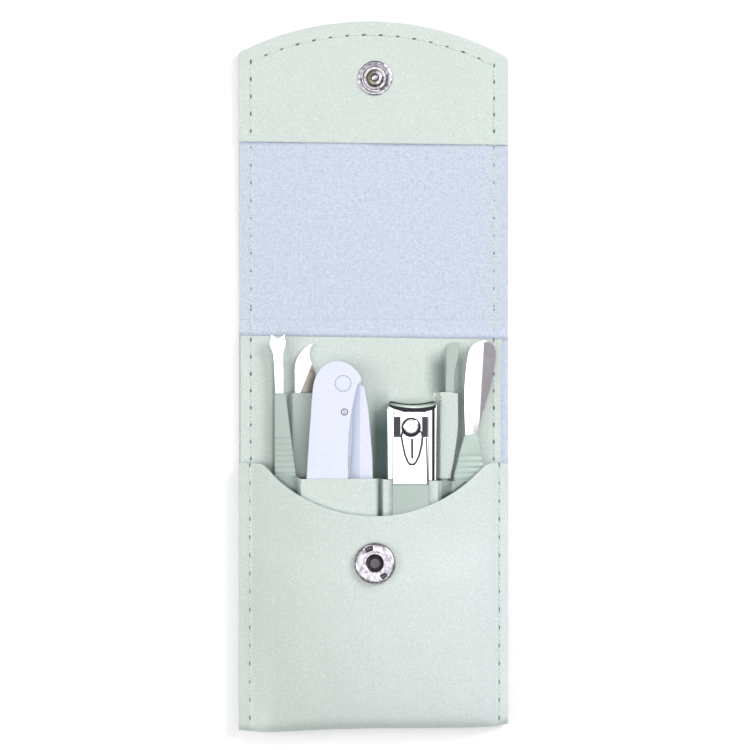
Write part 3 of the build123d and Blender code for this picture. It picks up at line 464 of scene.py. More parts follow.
def front_top(x):
    """Top edge of the front panel: level shoulders that run softly into the round scoop."""
    reach = abs(x - SCOOP_X)
    if reach >= SCOOP_R:
        return FRONT_TOP_Y
    scoop = FRONT_TOP_Y - SCOOP_DEPTH + SCOOP_R - math.sqrt(SCOOP_R**2 - reach**2)
    top = min(scoop, FRONT_TOP_Y)
    other = max(scoop, FRONT_TOP_Y)
    return top - SCOOP_CORNER * math.log(1 + math.exp((top - other) / SCOOP_CORNER))


crown_share = smooth_curve([
    (-37.8, 0.0), (-34.8, 0.03), (-31.6, 0.37), (-28.4, 0.71), (-24.0, 0.89), (-20.4, 0.97), (-8.0, 1.0),
    (8.0, 1.0), (18.0, 0.95), (23.0, 0.88), (27.5, 0.76), (31.9, 0.55), (34.9, 0.04), (37.8, 0.0),
])
crown_height = smooth_curve([
    (-104.0, 7.2), (-97.0, BOTTOM_FOLD_H), (-90.0, 9.6), (-82.0, 10.9), (-72.0, 12.0), (-58.5, 12.47),
    (-45.0, 11.0), (-24.0, 11.0),
])

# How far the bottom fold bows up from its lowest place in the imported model
bottom_lift = smooth_curve([
    (-37.8, -0.2), (-31.7, -0.6), (-15.0, 0.1), (0.0, 0.5), (20.0, 0.6), (32.0, 0.8), (35.0, 1.1),
    (37.8, 1.6),
])


def front_height(x, y):
    """Height of the front panel's face over the surface that the case lies on."""
    puff = 0.12 * math.sin(0.21 * x + 1.0) * math.sin(0.11 * y) + 0.06 * math.sin(0.5 * x + 0.23 * y)
    near_snap = bell(x, SNAP_X, 9) * bell(y, SOCKET_Y, 9)
    puff *= step_up(y, BOTTOM_Y + 4.0, BOTTOM_Y + 14.0) * (1 - near_snap)
    return MARGIN_H + (crown_height(y) - MARGIN_H + puff) * crown_share(x)


def bottom_fold(x):
    """Where the front starts to turn round the fold: its place, its height and how far it leans there."""
    low = BOTTOM_Y + bottom_lift(x)
    y = low + front_height(x, BOTTOM_Y) / 2
    lean = math.atan(front_height(x, y + 0.5) - front_height(x, y - 0.5))
    y = low + front_height(x, y) / (1 + math.cos(lean)) * (1 - math.sin(lean))
    return y, front_height(x, y), lean


def strip_point(x, v, outer):
    """A point of a sheet that runs down the front (0 to 1), round the fold (to 2) and up the back (to 3)."""
    fold_y, height, lean = bottom_fold(x)
    depth, back_z, inset = (0.0, 0.0, 0.0) if outer else (PLATE_TOP, LINING_TOP, LINING_INSET)
    if v <= 1:
        top = front_top(x) - inset
        y = top + (fold_y - top) * v
        return x, y, front_height(x, y) - depth
    radius = (height - depth - back_z) / (1 + math.cos(lean))
    centre_y = fold_y + radius * math.sin(lean)
    if v <= 2:
        turn = lean + (math.pi - lean) * (v - 1)
        return x, centre_y - radius * math.sin(turn), back_z + radius + radius * math.cos(turn)
    y = centre_y + (SPINE_MIDDLE_Y - centre_y) * (v - 2)
    if outer:
        return x, y, 0.0
    return x, y, LINING_TOP - (LINING_TOP - PLATE_TOP) * step_up(y, FOLD_Y - 3.0, FOLD_Y + 1.0)


def strip_rows():
    """Rows of the strip, closer together at the fold and at the hinge."""
    back = BOTTOM_Y + BOTTOM_FOLD_H / 2
    hinge = [2 + (y - back) / (SPINE_MIDDLE_Y - back) for y in spread(FOLD_Y - 3.5, SPINE_MIDDLE_Y, 12)]
    front = spread(0, 0.9, 46) + spread(0.915, 1, 7)
    return front + spread(1.08, 2, 12) + spread(2.06, hinge[0] - 0.02, 16) + hinge


def case_columns():
    edge = [33.4, 33.8, 34.2, 34.6, 35.2, 36.0, 37.0, HALF_W]
    return [-x for x in reversed(edge)] + spread(-33.0, 33.0, 67) + edge


def flap_top(x, inset=0.0):
    """Arched top edge of the flap with its soft corners."""
    arc = FLAP_TIP_Y - FLAP_ARC_R + math.sqrt(FLAP_ARC_R**2 - x * x) - FLAP_SKEW * x - inset
    past = abs(x) - (HALF_W - FLAP_CORNER_R)
    if past > 0:
        arc -= FLAP_CORNER_R - math.sqrt(max(0.0, FLAP_CORNER_R**2 - past**2))
    return arc


def flap_rise(y):
    """How far the resting flap has risen at a height."""
    return max(0.0, y - FLAP_Y) * math.tan(REST_TILT)


def flap_place(inset, height):
    """Places of a sheet from the middle of the spine strip to the flap's arched tip."""

    def place(x, v):
        y = SPINE_MIDDLE_Y + (flap_top(x, inset) - SPINE_MIDDLE_Y) * v
        return x, y, height + flap_rise(y)

    return place


def facing_low(x):
    """Lower edge of the flap's facing."""
    return FACING_BOTTOM_Y - 0.013 * x


def facing_height(x, y):
    """Height of the facing's top: a soft wave over its middle, and a slight curl at its lower edge."""
    curl = 0.35 * step_down(y, facing_low(x), facing_low(x) + 4.0) * (0.7 + 0.3 * math.sin(0.15 * x))
    wave = 0.08 * math.sin(0.17 * x) * math.sin(0.2 * y) * step_up(HALF_W - abs(x), 0.0, 6.0)
    return PLATE_TOP + FACING_T + flap_rise(y) + curl + wave + 0.02


def flap_columns():
    edge = [34.0, 35.0, 35.8, 36.3, 36.8, 37.2, 37.5, 37.7, HALF_W]
    return [-x for x in reversed(edge)] + spread(-32.5, 32.5, 53) + edge


FLAP_ROWS = spread(0, 0.12, 10) + spread(0.14, 1, 40)


def back_swell(x, y):
    """Soft swelling of the back panel between the tools, with a crease beside the tweezers."""
    swell = 0.62 * bell(x, 10, 8) * bell(y, 3, 8) + 0.35 * bell(x, -31.8, 3.2) * between(y, -27, -20, 0, 8)
    crease = bell(x, 19.0, 2.0) * bell(y, 0.5, 6)
    return (swell * (1 - crease) - 0.25 * crease) * step_down(abs(x), 32.6, 34.3)


def back_painted_shade(x, y):
    """Painted shade on the back panel: the valley by the clipper, and beside the tools."""
    valley = between(x, -2.0, 1.0, 3.2, 5.5) * step_down(y, -17, 0)
    hollow = between(x, 13.6, 18.8, 19.8, 20.6) * between(y, -7, -4, 2, 8.5)
    left = bell(x, -27.95, 0.5) * step_down(y, 5, 10)
    middle = bell(x, -23.4, 1.4) * step_down(y, 2, 10)
    right = bell(x, 24.4, 0.9) * step_down(y, 2, 9)
    return min(1.0, 0.93 * valley + 0.75 * hollow + 0.6 * left + 0.28 * middle + 0.45 * right)


def band_painted_shade(x, y):
    """Painted shade on the bands, which lie behind the tools and catch less light towards their lower ends.
    """
    deep = 0.3 + 0.2 * step_down(y, -24, -5)
    return deep if x < 0 else 0.08 * deep + 0.15 * step_down(x, 15.0, 17.4)


def pocket_height(top, rise):
    """Height of leather that lies on the back panel and rises to a top over a tool."""
    return POCKET_TOP + (top - POCKET_TOP) * rise


right_band_edge = smooth_curve([(-28.9, 21.6), (-24.0, 22.4), (-12.5, 23.7), (-5.0, 23.6)])


# One row for each space of the lower pocket: left, right, outer height at each, and bottom
LOOPS = [
    (-28.3, -21.1, 7.6, 7.6, -78.0),
    (-20.8, -16.2, 5.0, 5.0, -82.0),
    (-20.2, 0.6, 9.4, 9.4, -54.5),
    (2.9, 17.9, 7.8, 7.8, -65.5),
    (18.6, 21.3, 5.4, 5.4, -76.0),
    (22.1, 31.7, 8.6, 6.55, -76.5),
]
lower_top = smooth_curve([
    (-37.8, -28.4), (-28.5, -28.2), (-21.9, -28.1), (-20.4, -28.9), (0.9, -28.8), (1.9, -29.0),
    (16.4, -29.4), (18.8, -29.5), (26.0, -29.5), (37.8, -29.2),
])


def lower_pocket_height(x, y):
    """Height of the lower pocket's leather: it rises over each tool and sinks between them."""
    height = POCKET_TOP
    for left, right, top_left, top_right, bottom in LOOPS:
        across = min(1.0, max(0.0, (x - left) / (right - left)))
        top = top_left + (top_right - top_left) * across
        rise = between(x, left - 1.15, left - 0.1, right + 0.1, right + 1.15)
        height = max(height, pocket_height(top, rise * step_up(y, bottom - 6, bottom - 0.5)))
    return height


def front_painted_shade(x, y):
    """Painted shade on the front panel: darker to the left and into the bottom fold, and painted lighter on
    its sides.
    """
    shade = 0.06 * step_down(x, -30, 8) + (0.03 + 0.07 * step_up(x, -30, -5)) * step_down(y, -99, -86)
    left_side = between(x, -34.9, -34.0, -30.5, -27.0)
    right_side = between(x, 30.5, 32.5, 34.6, 35.2)
    return shade - 0.15 * left_side - 0.07 * right_side


def lower_pocket_painted_shade(x, y):
    """Painted shade on the lower pocket: over the slim tools, and close to the front panel's edge."""
    left = step_down(x, -21.3, -20.7) * (1 + 0.5 * bell(x, -21.7, 1.2))
    right = step_up(x, 18.4, 19.3)
    near = step_down(y - front_top(x), 0.2, 1.3)
    return min(1.0, 0.46 * left + 0.46 * right + near * (0.12 + 0.4 * right + 0.15 * left))


def panel_edge(x):
    """Top edge of the back panel."""
    return PANEL_HIGH.y + 0.4 - 0.014 * (x + 37)


def lining_painted_shade(x, y):
    """Painted shade on the lining along the back panel's top edge."""
    return 0.5 * bell(y, panel_edge(x) + 0.15, 0.6)


# Materials


def start_material(name):
    """The node tree of a new material."""
    material = bpy.data.materials.new(name)
    material.use_nodes = True
    return material.node_tree


def feed(tree, socket, value):
    """Link a pattern to a socket, or set the number or colour that the socket has all over."""
    if isinstance(value, bpy.types.NodeSocket):
        tree.links.new(value, socket)
    elif socket.type == "RGBA":
        socket.default_value = (*value[:3], 1.0)
    else:
        socket.default_value = value


def add_node(tree, kind, inputs, **settings):
    """Add a node, set it and feed its inputs."""
    node = tree.nodes.new(kind)
    for name, value in settings.items():
        setattr(node, name, value)
    for name, value in inputs.items():
        feed(tree, node.inputs[name], value)
    return node


def object_place(tree):
    """Places on the object, for patterns that stay with it."""
    return tree.nodes.new("ShaderNodeTexCoord").outputs["Object"]


def painted_shade(tree):
    """The painted shade of a place of a sheet, as its attribute gives it."""
    return add_node(tree, "ShaderNodeAttribute", {}, attribute_name="painted_shade").outputs["Fac"]


def noise(tree, source, scale, detail=2.0, stretch=None, roughness=0.5):
    """A noise pattern on object or UV coordinates, stretched where asked."""
    if stretch:
        source = add_node(tree, "ShaderNodeMapping", {"Scale": stretch, "Vector": source}).outputs["Vector"]
    inputs = {"Scale": scale, "Detail": detail, "Roughness": roughness, "Vector": source}
    return add_node(tree, "ShaderNodeTexNoise", inputs).outputs["Fac"]


def remap(tree, source, low, high, to_low=0.0, to_high=1.0):
    """Stretch a range of a pattern to another range."""
    inputs = {"Value": source, "From Min": low, "From Max": high, "To Min": to_low, "To Max": to_high}
    return add_node(tree, "ShaderNodeMapRange", inputs).outputs["Result"]


def combine(tree, operation, first, second):
    """Two patterns, or a pattern and a number, put together."""
    return add_node(tree, "ShaderNodeMath", {0: first, 1: second}, operation=operation).outputs["Value"]


def blend_colours(tree, factor, first, second, limited=True):
    """A colour that goes from the first to the second with a pattern."""
    inputs = {0: factor, 6: first, 7: second}
    return add_node(tree, "ShaderNodeMix", inputs, data_type="RGBA", clamp_factor=limited).outputs[2]


def set_surface(tree, inputs, relief, depth, strength=1.0):
    """Feed the shader, with relief from a pattern whose depth is in millimetres."""
    bump = add_node(tree, "ShaderNodeBump", {"Strength": strength, "Distance": depth * MM, "Height": relief})
    shader = tree.nodes["Principled BSDF"]
    for name, value in {**inputs, "Normal": bump.outputs["Normal"]}.items():
        feed(tree, shader.inputs[name], value)


def tint(colour, factor):
    return tuple(min(1.0, channel * factor) for channel in colour)


def leather_finish(name, colour, painted_sheen, grain):
    """Smooth artificial leather: fine grain, faint mottling, painted glints as small pale specks for its
    pearly shimmer, a painted sheen towards the lower right, and painted shade.
    """
    tree = start_material(name)
    where = object_place(tree)
    fine = noise(tree, where, 1 / grain, 3.0, roughness=0.6)
    pores = add_node(tree, "ShaderNodeTexVoronoi", {"Scale": 0.8 / grain, "Vector": where})
    # Painted sheen: paler and bluer towards the lower right, where the light falls more strongly.
    place = add_node(tree, "ShaderNodeSeparateXYZ", {"Vector": where}).outputs
    sideways = remap(tree, place["X"], -0.02, 0.06)
    downwards = remap(tree, place["Y"], -0.01, -0.05)
    base = blend_colours(tree, combine(tree, "MULTIPLY", sideways, downwards), colour, painted_sheen)
    patchy = remap(tree, noise(tree, where, 70.0, 3.0), 0.3, 0.7)
    base = blend_colours(tree, combine(tree, "MULTIPLY", patchy, 0.3), base, tint(colour, 1.10))
    speckle = combine(tree, "MULTIPLY", remap(tree, fine, 0.62, 0.36), 0.32)
    base = blend_colours(tree, speckle, base, tint(colour, 0.74))
    # Painted glints: small pale specks for the pearly shimmer; the same pattern makes them glossier.
    sparkle = noise(tree, where, 2600.0, 1.0)
    painted_glints = combine(tree, "MULTIPLY", remap(tree, sparkle, 0.60, 0.74), 0.55)
    base = blend_colours(tree, painted_glints, base, (0.93, 0.97, 0.96))
    # Painted shade: darker and greener where the sheet's attribute says, and paler below 0.
    base = blend_colours(tree, painted_shade(tree), base, (0.03, 0.085, 0.07), limited=False)
    surface = {
        "Base Color": base, "Roughness": remap(tree, sparkle, 0.45, 0.72, 0.55, 0.4),
        "Specular IOR Level": 0.45, "Sheen Weight": 0.08, "Sheen Roughness": 0.4,
    }
    relief = combine(tree, "ADD", fine, combine(tree, "MULTIPLY", pores.outputs["Distance"], 0.6))
    set_surface(tree, surface, relief, 0.06, 0.8)


def edge_finish(colour):
    """Raw cut edge of the leather: paler, dry and slightly fibrous."""
    tree = start_material("leather_cut_edge")
    fibres = noise(tree, object_place(tree), 1500.0, 4.0)
    base = blend_colours(tree, fibres, tint(colour, 0.82), tint(colour, 1.16))
    set_surface(tree, {"Base Color": base, "Roughness": 0.8}, fibres, 0.08)


def woven_finish(name, colour, dark, pitch):
    """Plain woven lining: a fine uneven weave with short slubs, a faint change of hue, and painted shade."""
    tree = start_material(name)
    where = add_node(tree, "ShaderNodeUVMap", {}, uv_map="weave").outputs["UV"]
    waves = []
    for direction in ("X", "Y"):
        inputs = {
            "Scale": 0.314 / pitch, "Distortion": 2.4, "Detail": 2.0, "Detail Scale": 0.6, "Vector": where,
        }
        waves.append(add_node(tree, "ShaderNodeTexWave", inputs, bands_direction=direction).outputs["Fac"])
    cloth = combine(tree, "MULTIPLY", *waves)
    across = noise(tree, where, 1.0, 2.0, stretch=(700.0, 1500.0, 1.0))
    along = noise(tree, where, 1.0, 2.0, stretch=(1500.0, 700.0, 1.0))
    slubs = combine(tree, "ADD", across, along)
    fuzz = remap(tree, noise(tree, where, 1900.0, 3.0, roughness=0.7), 0.35, 0.7, -0.5, 0.5)
    tone = combine(tree, "ADD", remap(tree, slubs, 0.7, 1.3), fuzz)
    tone = combine(tree, "ADD", tone, remap(tree, cloth, 0.0, 0.9, -0.12, 0.16))
    base = blend_colours(tree, remap(tree, tone, -0.45, 1.45), dark, tint(colour, 1.16))
    hue = remap(tree, noise(tree, where, 650.0, 2.0), 0.4, 0.65, 0.0, 0.45)
    base = blend_colours(tree, hue, base, tint((colour[0] * 1.05, colour[1] * 0.98, colour[2]), 0.98))
    # Painted shade: the darker thread colour, darker still, where the sheet's attribute says.
    base = blend_colours(tree, painted_shade(tree), base, tint(dark, 0.5))
    relief = combine(tree, "ADD", cloth, combine(tree, "MULTIPLY", slubs, 0.6))
    set_surface(tree, {"Base Color": base, "Roughness": 0.85, "Sheen Weight": 0.1}, relief, 0.1)


def metal_finish(
    name, colour, rough_low, rough_high, stretch=(1.0, 1.0, 1.0), depth=0.004, dull=0.94, patch=160.0
):
    """Bright metal with faint polishing marks and small duller smudges."""
    tree = start_material(name)
    where = object_place(tree)
    marks = noise(tree, where, 900.0, 3.0, stretch=stretch)
    smudge = remap(tree, noise(tree, where, patch, 2.0), 0.35, 0.65)
    tone = blend_colours(tree, smudge, tint(colour, dull), tint(colour, 1.05))
    polish = remap(tree, marks, 0.3, 0.75, rough_low, rough_high)
    set_surface(tree, {"Base Color": tone, "Metallic": 1.0, "Roughness": polish}, marks, depth)


def coat_finish(name, colour, roughness, depth):
    """Painted or moulded surface with a fine orange-peel skin and a faint cloudiness."""
    tree = start_material(name)
    where = object_place(tree)
    skin = noise(tree, where, 1100.0, 2.0)
    cloudy = noise(tree, where, 120.0, 2.0)
    tone = blend_colours(tree, cloudy, tint(colour, 0.95), tint(colour, 1.04))
    gloss = remap(tree, skin, 0.3, 0.7, roughness - 0.05, roughness + 0.06)
    set_surface(tree, {"Base Color": tone, "Roughness": gloss}, skin, depth)


def thread_finish(colour):
    """Twisted sewing thread."""
    tree = start_material("sewing_thread")
    inputs = {"Scale": 520.0, "Vector": object_place(tree)}
    twist = add_node(tree, "ShaderNodeTexWave", inputs, bands_direction="DIAGONAL").outputs["Fac"]
    tone = blend_colours(tree, twist, tint(colour, 0.86), tint(colour, 1.12))
    set_surface(tree, {"Base Color": tone, "Roughness": 0.7, "Sheen Weight": 0.2}, twist, 0.04)


def all_materials():
    """Every finish of the object, made once."""
    if "mint_leather_finish" in bpy.data.materials:
        return
    sizes = bpy.context.scene.manicure_case_sizes
    colours = bpy.context.scene.manicure_case_colours
    leather_finish("mint_leather_finish", colours.leather, colours.leather_painted_sheen, sizes.grain_size)
    edge_finish(colours.leather)
    woven_finish("woven_lining", colours.lining, colours.lining_dark, sizes.weave_pitch)
    thread_finish(tint(colours.leather, 1.05))
    # Needle holes: dark discs of painted shade where the thread dives in.
    coat_finish("needle_hole_painted_shade", (0.13, 0.19, 0.16), 0.9, 0.02)
    coat_finish("mint_coating_finish", colours.coating, 0.34, 0.008)
    # A lighter copy of the coating, painted light for the pusher's handle.
    coat_finish("pusher_coating_painted_light", tint(colours.coating, 1.13), 0.34, 0.008)
    coat_finish("white_plastic_finish", colours.plastic, 0.28, 0.004)
    # Painted shade for the groove round the scissors' pivot.
    coat_finish("plastic_groove_painted_shade", (0.42, 0.45, 0.52), 0.5, 0.004)
    # Painted shade: bluish grey for the lowered part of the scissors' rear plate.
    coat_finish("plastic_recess_painted_shade", (0.62, 0.68, 0.84), 0.4, 0.004)
    coat_finish("felt_padding", (0.72, 0.72, 0.7), 0.9, 0.05)
    metal_finish("bright_chrome", (0.82, 0.83, 0.85), 0.05, 0.14)
    metal_finish("nickel_snap", (0.57, 0.54, 0.59), 0.2, 0.4, depth=0.012, dull=0.48, patch=1000.0)
    # Painted reflection: darker, greenish steel for the socket ring's outer side.
    metal_finish("nickel_rim_painted_reflection", (0.34, 0.36, 0.32), 0.3, 0.5)
    metal_finish("polished_steel", (0.84, 0.84, 0.86), 0.2, 0.34, stretch=(3.0, 0.4, 1.0))
    # Painted shade: darker, bluish steel for the scissors' blades between the plates.
    metal_finish("blade_steel_painted_shade", (0.30, 0.335, 0.40), 0.25, 0.4, stretch=(3.0, 0.4, 1.0))
    # Painted reflection: the leather's green on the clipper's jaw bevel.
    metal_finish("jaw_bevel_painted_reflection", (0.56, 0.66, 0.59), 0.18, 0.3)
    # Painted reflection: darker steel for the pusher's ground facet and for the rivet.
    metal_finish("ground_facet_painted_reflection", (0.40, 0.38, 0.41), 0.3, 0.45, stretch=(0.5, 4.0, 1.0), depth=0.01)
    # Painted shade and reflection: dim steel for dark lines, window floors, arcs and hollows of the metal
    # parts.
    metal_finish("dim_painted_shade_and_reflection", (0.115, 0.105, 0.12), 0.4, 0.55)
    # Painted shade: near-black steel for the deepest shade and darkest reflections of the metal parts.
    metal_finish("shaded_steel", (0.03, 0.03, 0.035), 0.4, 0.6)
    # Painted reflection: a warm olive tint on the left of the stud's nipple.
    metal_finish("warm_nickel_painted_reflection", (0.26, 0.235, 0.18), 0.25, 0.4, dull=0.5, patch=900.0)
    # Painted reflection: warmer, darker steel for the knife's ground facet.
    metal_finish("knife_facet_painted_reflection", (0.36, 0.33, 0.29), 0.3, 0.45, stretch=(0.5, 4.0, 1.0), depth=0.01)
    # Painted shade: near-black steel seen in the lever's windows and slot, and round its tongue.
    metal_finish("clipper_recess_painted_shade", (0.055, 0.055, 0.065), 0.4, 0.55)


def finish(name):
    all_materials()
    return bpy.data.materials[name]


# Hard pieces


def cut_plate(name, rows, low, high):
    """A flat plate: one edge extruded from row to row (y, left, right), then raised to its thickness."""
    clear_selection()
    y, left, right = rows[0]
    next_y = rows[1][0]
    middle = ((left + right) / 2, (y + next_y) / 2, low)
    bpy.ops.mesh.primitive_plane_add(size=MM, location=Vector(middle) * MM)
    plate = settle(bpy.context.object, name)
    edit_all(plate)
    resize(right - left, abs(next_y - y), middle)
    direction = 1 if next_y > y else -1
    pick(plate, lambda point: (point.y - middle[1]) * direction > 0)
    for i, (y1, left1, right1) in enumerate(rows[1:]):
        y0, left0, right0 = rows[i]
        slide = ((left1 + right1) - (left0 + right0)) / 2
        if i == 0:
            shift(slide)
        else:
            extrude(slide, y1 - y0)
        resize((right1 - left1) / (right0 - left0), 1.0, ((left1 + right1) / 2, y1, low))
    select_all()
    extrude(z=high - low)
    select_all()
    make_outward()
    return plate


def slope_off(plate, point, normal, top, drop=0.0, steepness=0.0):
    """Cut a line across a plate and lower the top beyond it, level or as a ground facet."""
    edit_all(plate)
    direction = Vector((*normal, 0.0)).normalized()
    bpy.ops.mesh.bisect(plane_co=tuple(Vector((*point, top)) * MM), plane_no=tuple(direction))
    start = Vector((*point, 0.0))
    pick(plate, lambda at: (at - start).dot(direction) > NEAR and at.z > top - NEAR)
    if drop:
        shift(z=-drop)
    leave_edit()
    for vertex in plate.data.vertices:
        past = (vertex.co / MM - start).dot(direction)
        if vertex.select and past > NEAR:
            vertex.co.z -= min(steepness * past, FACET_DEPTH) * MM


def split_facet(piece):
    """Give the sloped facet of a blade its second finish, darker steel painted as the facet's reflection."""
    for face in piece.data.polygons:
        if STEEP_NORMAL < face.normal.z < FLAT_NORMAL and face.area > SLIVER_AREA:
            face.material_index = 1
            face.use_smooth = False


def row_at(rows, y):
    """Left and right edge of a plate between its rows."""
    ordered = sorted(rows)
    for (y0, left0, right0), (y1, left1, right1) in zip(ordered, ordered[1:]):
        if y0 <= y <= y1:
            t = (y - y0) / (y1 - y0)
            return y, left0 + (left1 - left0) * t, right0 + (right1 - right0) * t
    raise ValueError("the row lies outside the plate")


def ridged_handle(name, rows, low, high, first_groove, count):
    """A coated handle with grip grooves across its top."""
    grooves = [first_groove - GROOVE_PITCH * i for i in range(count)]
    extra = [row_at(rows, y + step) for y in grooves for step in (-GROOVE_HALF, 0.0, GROOVE_HALF)]
    handle = cut_plate(name, sorted(rows + extra, reverse=True), low, high)
    make_active(handle)
    pick(handle, lambda at: at.z > high - NEAR and any(abs(at.y - y) < NEAR for y in grooves))
    shift(z=-GROOVE_DEPTH)
    leave_edit()
    return handle


def turned_piece(name, profile, steps=48):
    """A round piece: a side profile of radius and height, spun about the upright axis."""
    clear_selection()
    bpy.ops.mesh.primitive_plane_add(size=MM)
    piece = settle(bpy.context.object, name)
    pick(piece, lambda at: not (at.x > 0 and at.y > 0))
    bpy.ops.mesh.delete(type="VERT")
    select_all()
    radius, height = profile[0]
    shift(radius - 0.5, -0.5, height)
    for r, z in profile[1:]:
        extrude(x=r - radius, z=z - height)
        radius, height = r, z
    select_all()
    bpy.ops.mesh.spin(steps=steps, angle=2 * math.pi, center=(0, 0, 0), axis=(0, 0, 1))
    select_all()
    bpy.ops.mesh.remove_doubles(threshold=0.001 * MM)
    make_outward()
    bpy.ops.object.shade_smooth_by_angle(angle=math.radians(35))
    return piece


def place_on_front(piece):
    place = Matrix.Translation(Vector((SNAP_X, SOCKET_Y, SOCKET_Z)) * MM)
    piece.data.transform(place @ Matrix.Rotation(-SNAP_SLOPE, 4, "X"))


def place_on_flap(piece):
    hinge = Matrix.Translation(Vector((0, FLAP_Y, PLATE_TOP)) * MM)
    tilt = hinge @ Matrix.Rotation(REST_TILT, 4, "X") @ hinge.inverted()
    piece.data.transform(tilt @ Matrix.Translation(Vector((SNAP_X, STUD_Y, PLATE_TOP + FACING_T)) * MM))


# Operators


class MANICURE_OT_leather(bpy.types.Operator):
    """Model the outer leather and the facing of the flap"""

    bl_idname = "manicure.leather"
    bl_label = "Outer Leather"

    def execute(self, context):
        case = leather_sheet(
            "case_leather", case_columns(), strip_rows(), lambda x, v: strip_point(x, v, True), COVER_T,
            None, ("outer_cover",), depth=front_painted_shade,
        )
        bend_at(case)
        flap = leather_sheet(
            "flap_leather", flap_columns(), FLAP_ROWS, flap_place(0.0, 0.0), COVER_T,
            None, ("flap_cover", "spine_cover"), outward=-1.0,
        )
        bend_at(flap)

        def facing_point(x, v):
            y = facing_low(x) + (flap_top(x, 0.05) - facing_low(x)) * v
            return x, y, facing_height(x, y)

        rows = spread(0, 0.2, 9) + spread(0.24, 1, 22)
        leather_sheet(
            "flap_facing_leather", flap_columns(), rows, facing_point, FACING_T, "flap", ("flap_facing",)
        )
        return {"FINISHED"}


class MANICURE_OT_lining(bpy.types.Operator):
    """Model the woven lining of the case and the flap"""

    bl_idname = "manicure.lining"
    bl_label = "Woven Lining"

    def execute(self, context):
        case = lay_sheet(
            "case_lining_cloth", case_columns(), strip_rows(), lambda x, v: strip_point(x, v, False),
            -LINING_T, 0.01, depth=lining_painted_shade,
        )
        self.clothe(case, "case_lining")
        bend_at(case)
        place = flap_place(0.3, PLATE_TOP)
        flap = lay_sheet("flap_lining_cloth", flap_columns(), FLAP_ROWS, place, LINING_T, 0.01)
        self.clothe(flap, "flap_lining", "spine_lining")
        bend_at(flap)

        low, high = node_span("back_padding")
        end_y = FOLD_Y - 3.2

        def pad_point(x, y):
            side = step_up(min(x - low.x, high.x - x), 0.0, 1.6)
            tip = step_up(min(y - low.y, end_y - y), -0.6, 2.0)
            soft = 0.02 * math.sin(0.4 * x) * math.sin(0.3 * y)
            return x, y, low.z + 0.02 + (high.z - low.z - 0.04) * (0.55 + 0.45 * side * tip) + soft

        columns = spread(low.x + 0.25, high.x - 0.25, 40)
        pad = lay_sheet("back_pad", columns, spread(low.y, end_y, 40), pad_point, 0.42, 0.12)
        dress(pad, "case", "padding", "felt_padding", "felt_padding", replaced=("back_padding",))
        return {"FINISHED"}

    def clothe(self, sheet, *nodes):
        dress(sheet, None, "lining_fabric", "woven_lining", "woven_lining", replaced=nodes)


class MANICURE_OT_pockets(bpy.types.Operator):
    """Model the back panel, the two bands with their sleeves and the lower pocket"""

    bl_idname = "manicure.pockets"
    bl_label = "Pockets"

    def execute(self, context):
        def panel_point(x, v):
            y = PANEL_LOW.y + (panel_edge(x) - PANEL_LOW.y) * v
            return x, y, PANEL_TOP + back_swell(x, y)

        def left_point(x, v):
            y = LOWER_TOP_Y + (BAND_TOP_Y + 0.15 - LOWER_TOP_Y) * v
            return x, y, pocket_height(LEFT_BAND_TOP, between(x, -24.2, -22.5, -16.0, -14.4))

        def right_point(u, v):
            y = LOWER_TOP_Y + (BAND_TOP_Y - LOWER_TOP_Y) * v
            start = 12.0 + 4.8 * step_up(y, -9.5, -5.5)
            x = start + (right_band_edge(y) - start) * u
            y += 0.35 * math.sin(math.pi * min(1.0, max(0.0, (x - 16.5) / 7))) * step_up(v, 0.9, 1.0)
            return x, y, pocket_height(RIGHT_BAND_TOP, step_up(x, 17.7, 18.8))

        def lower_point(x, v):
            y = lower_top(x) + (PANEL_LOW.y - lower_top(x)) * v
            return x, y, lower_pocket_height(x, y)

        across = spread(PANEL_LOW.x, PANEL_HIGH.x, 220)
        along = spread(0, 0.6, 12) + spread(0.61, 1, 60)
        self.pocket("back_panel_leather", across, along, panel_point, "back_pocket_panel", back_painted_shade)
        across = spread(-26.2, -12.0, 48)
        self.pocket("left_band_leather", across, spread(0, 1, 22), left_point, "left_pocket_band", band_painted_shade)
        across = spread(0, 0.93, 34) + [0.96, 1.0]
        along = spread(0, 1, 26)
        self.pocket("right_band_leather", across, along, right_point, "right_pocket_band", band_painted_shade)
        across = spread(-HALF_W, HALF_W, 253)
        along = spread(0, 0.2, 28) + spread(0.22, 1, 34)
        self.pocket(
            "lower_pocket_leather", across, along, lower_point, "lower_pocket_panel", lower_pocket_painted_shade
        )
        return {"FINISHED"}

    def pocket(self, name, columns, rows, place, node, depth):
        leather_sheet(name, columns, rows, place, PANEL_T, "case", (node,), depth=depth)


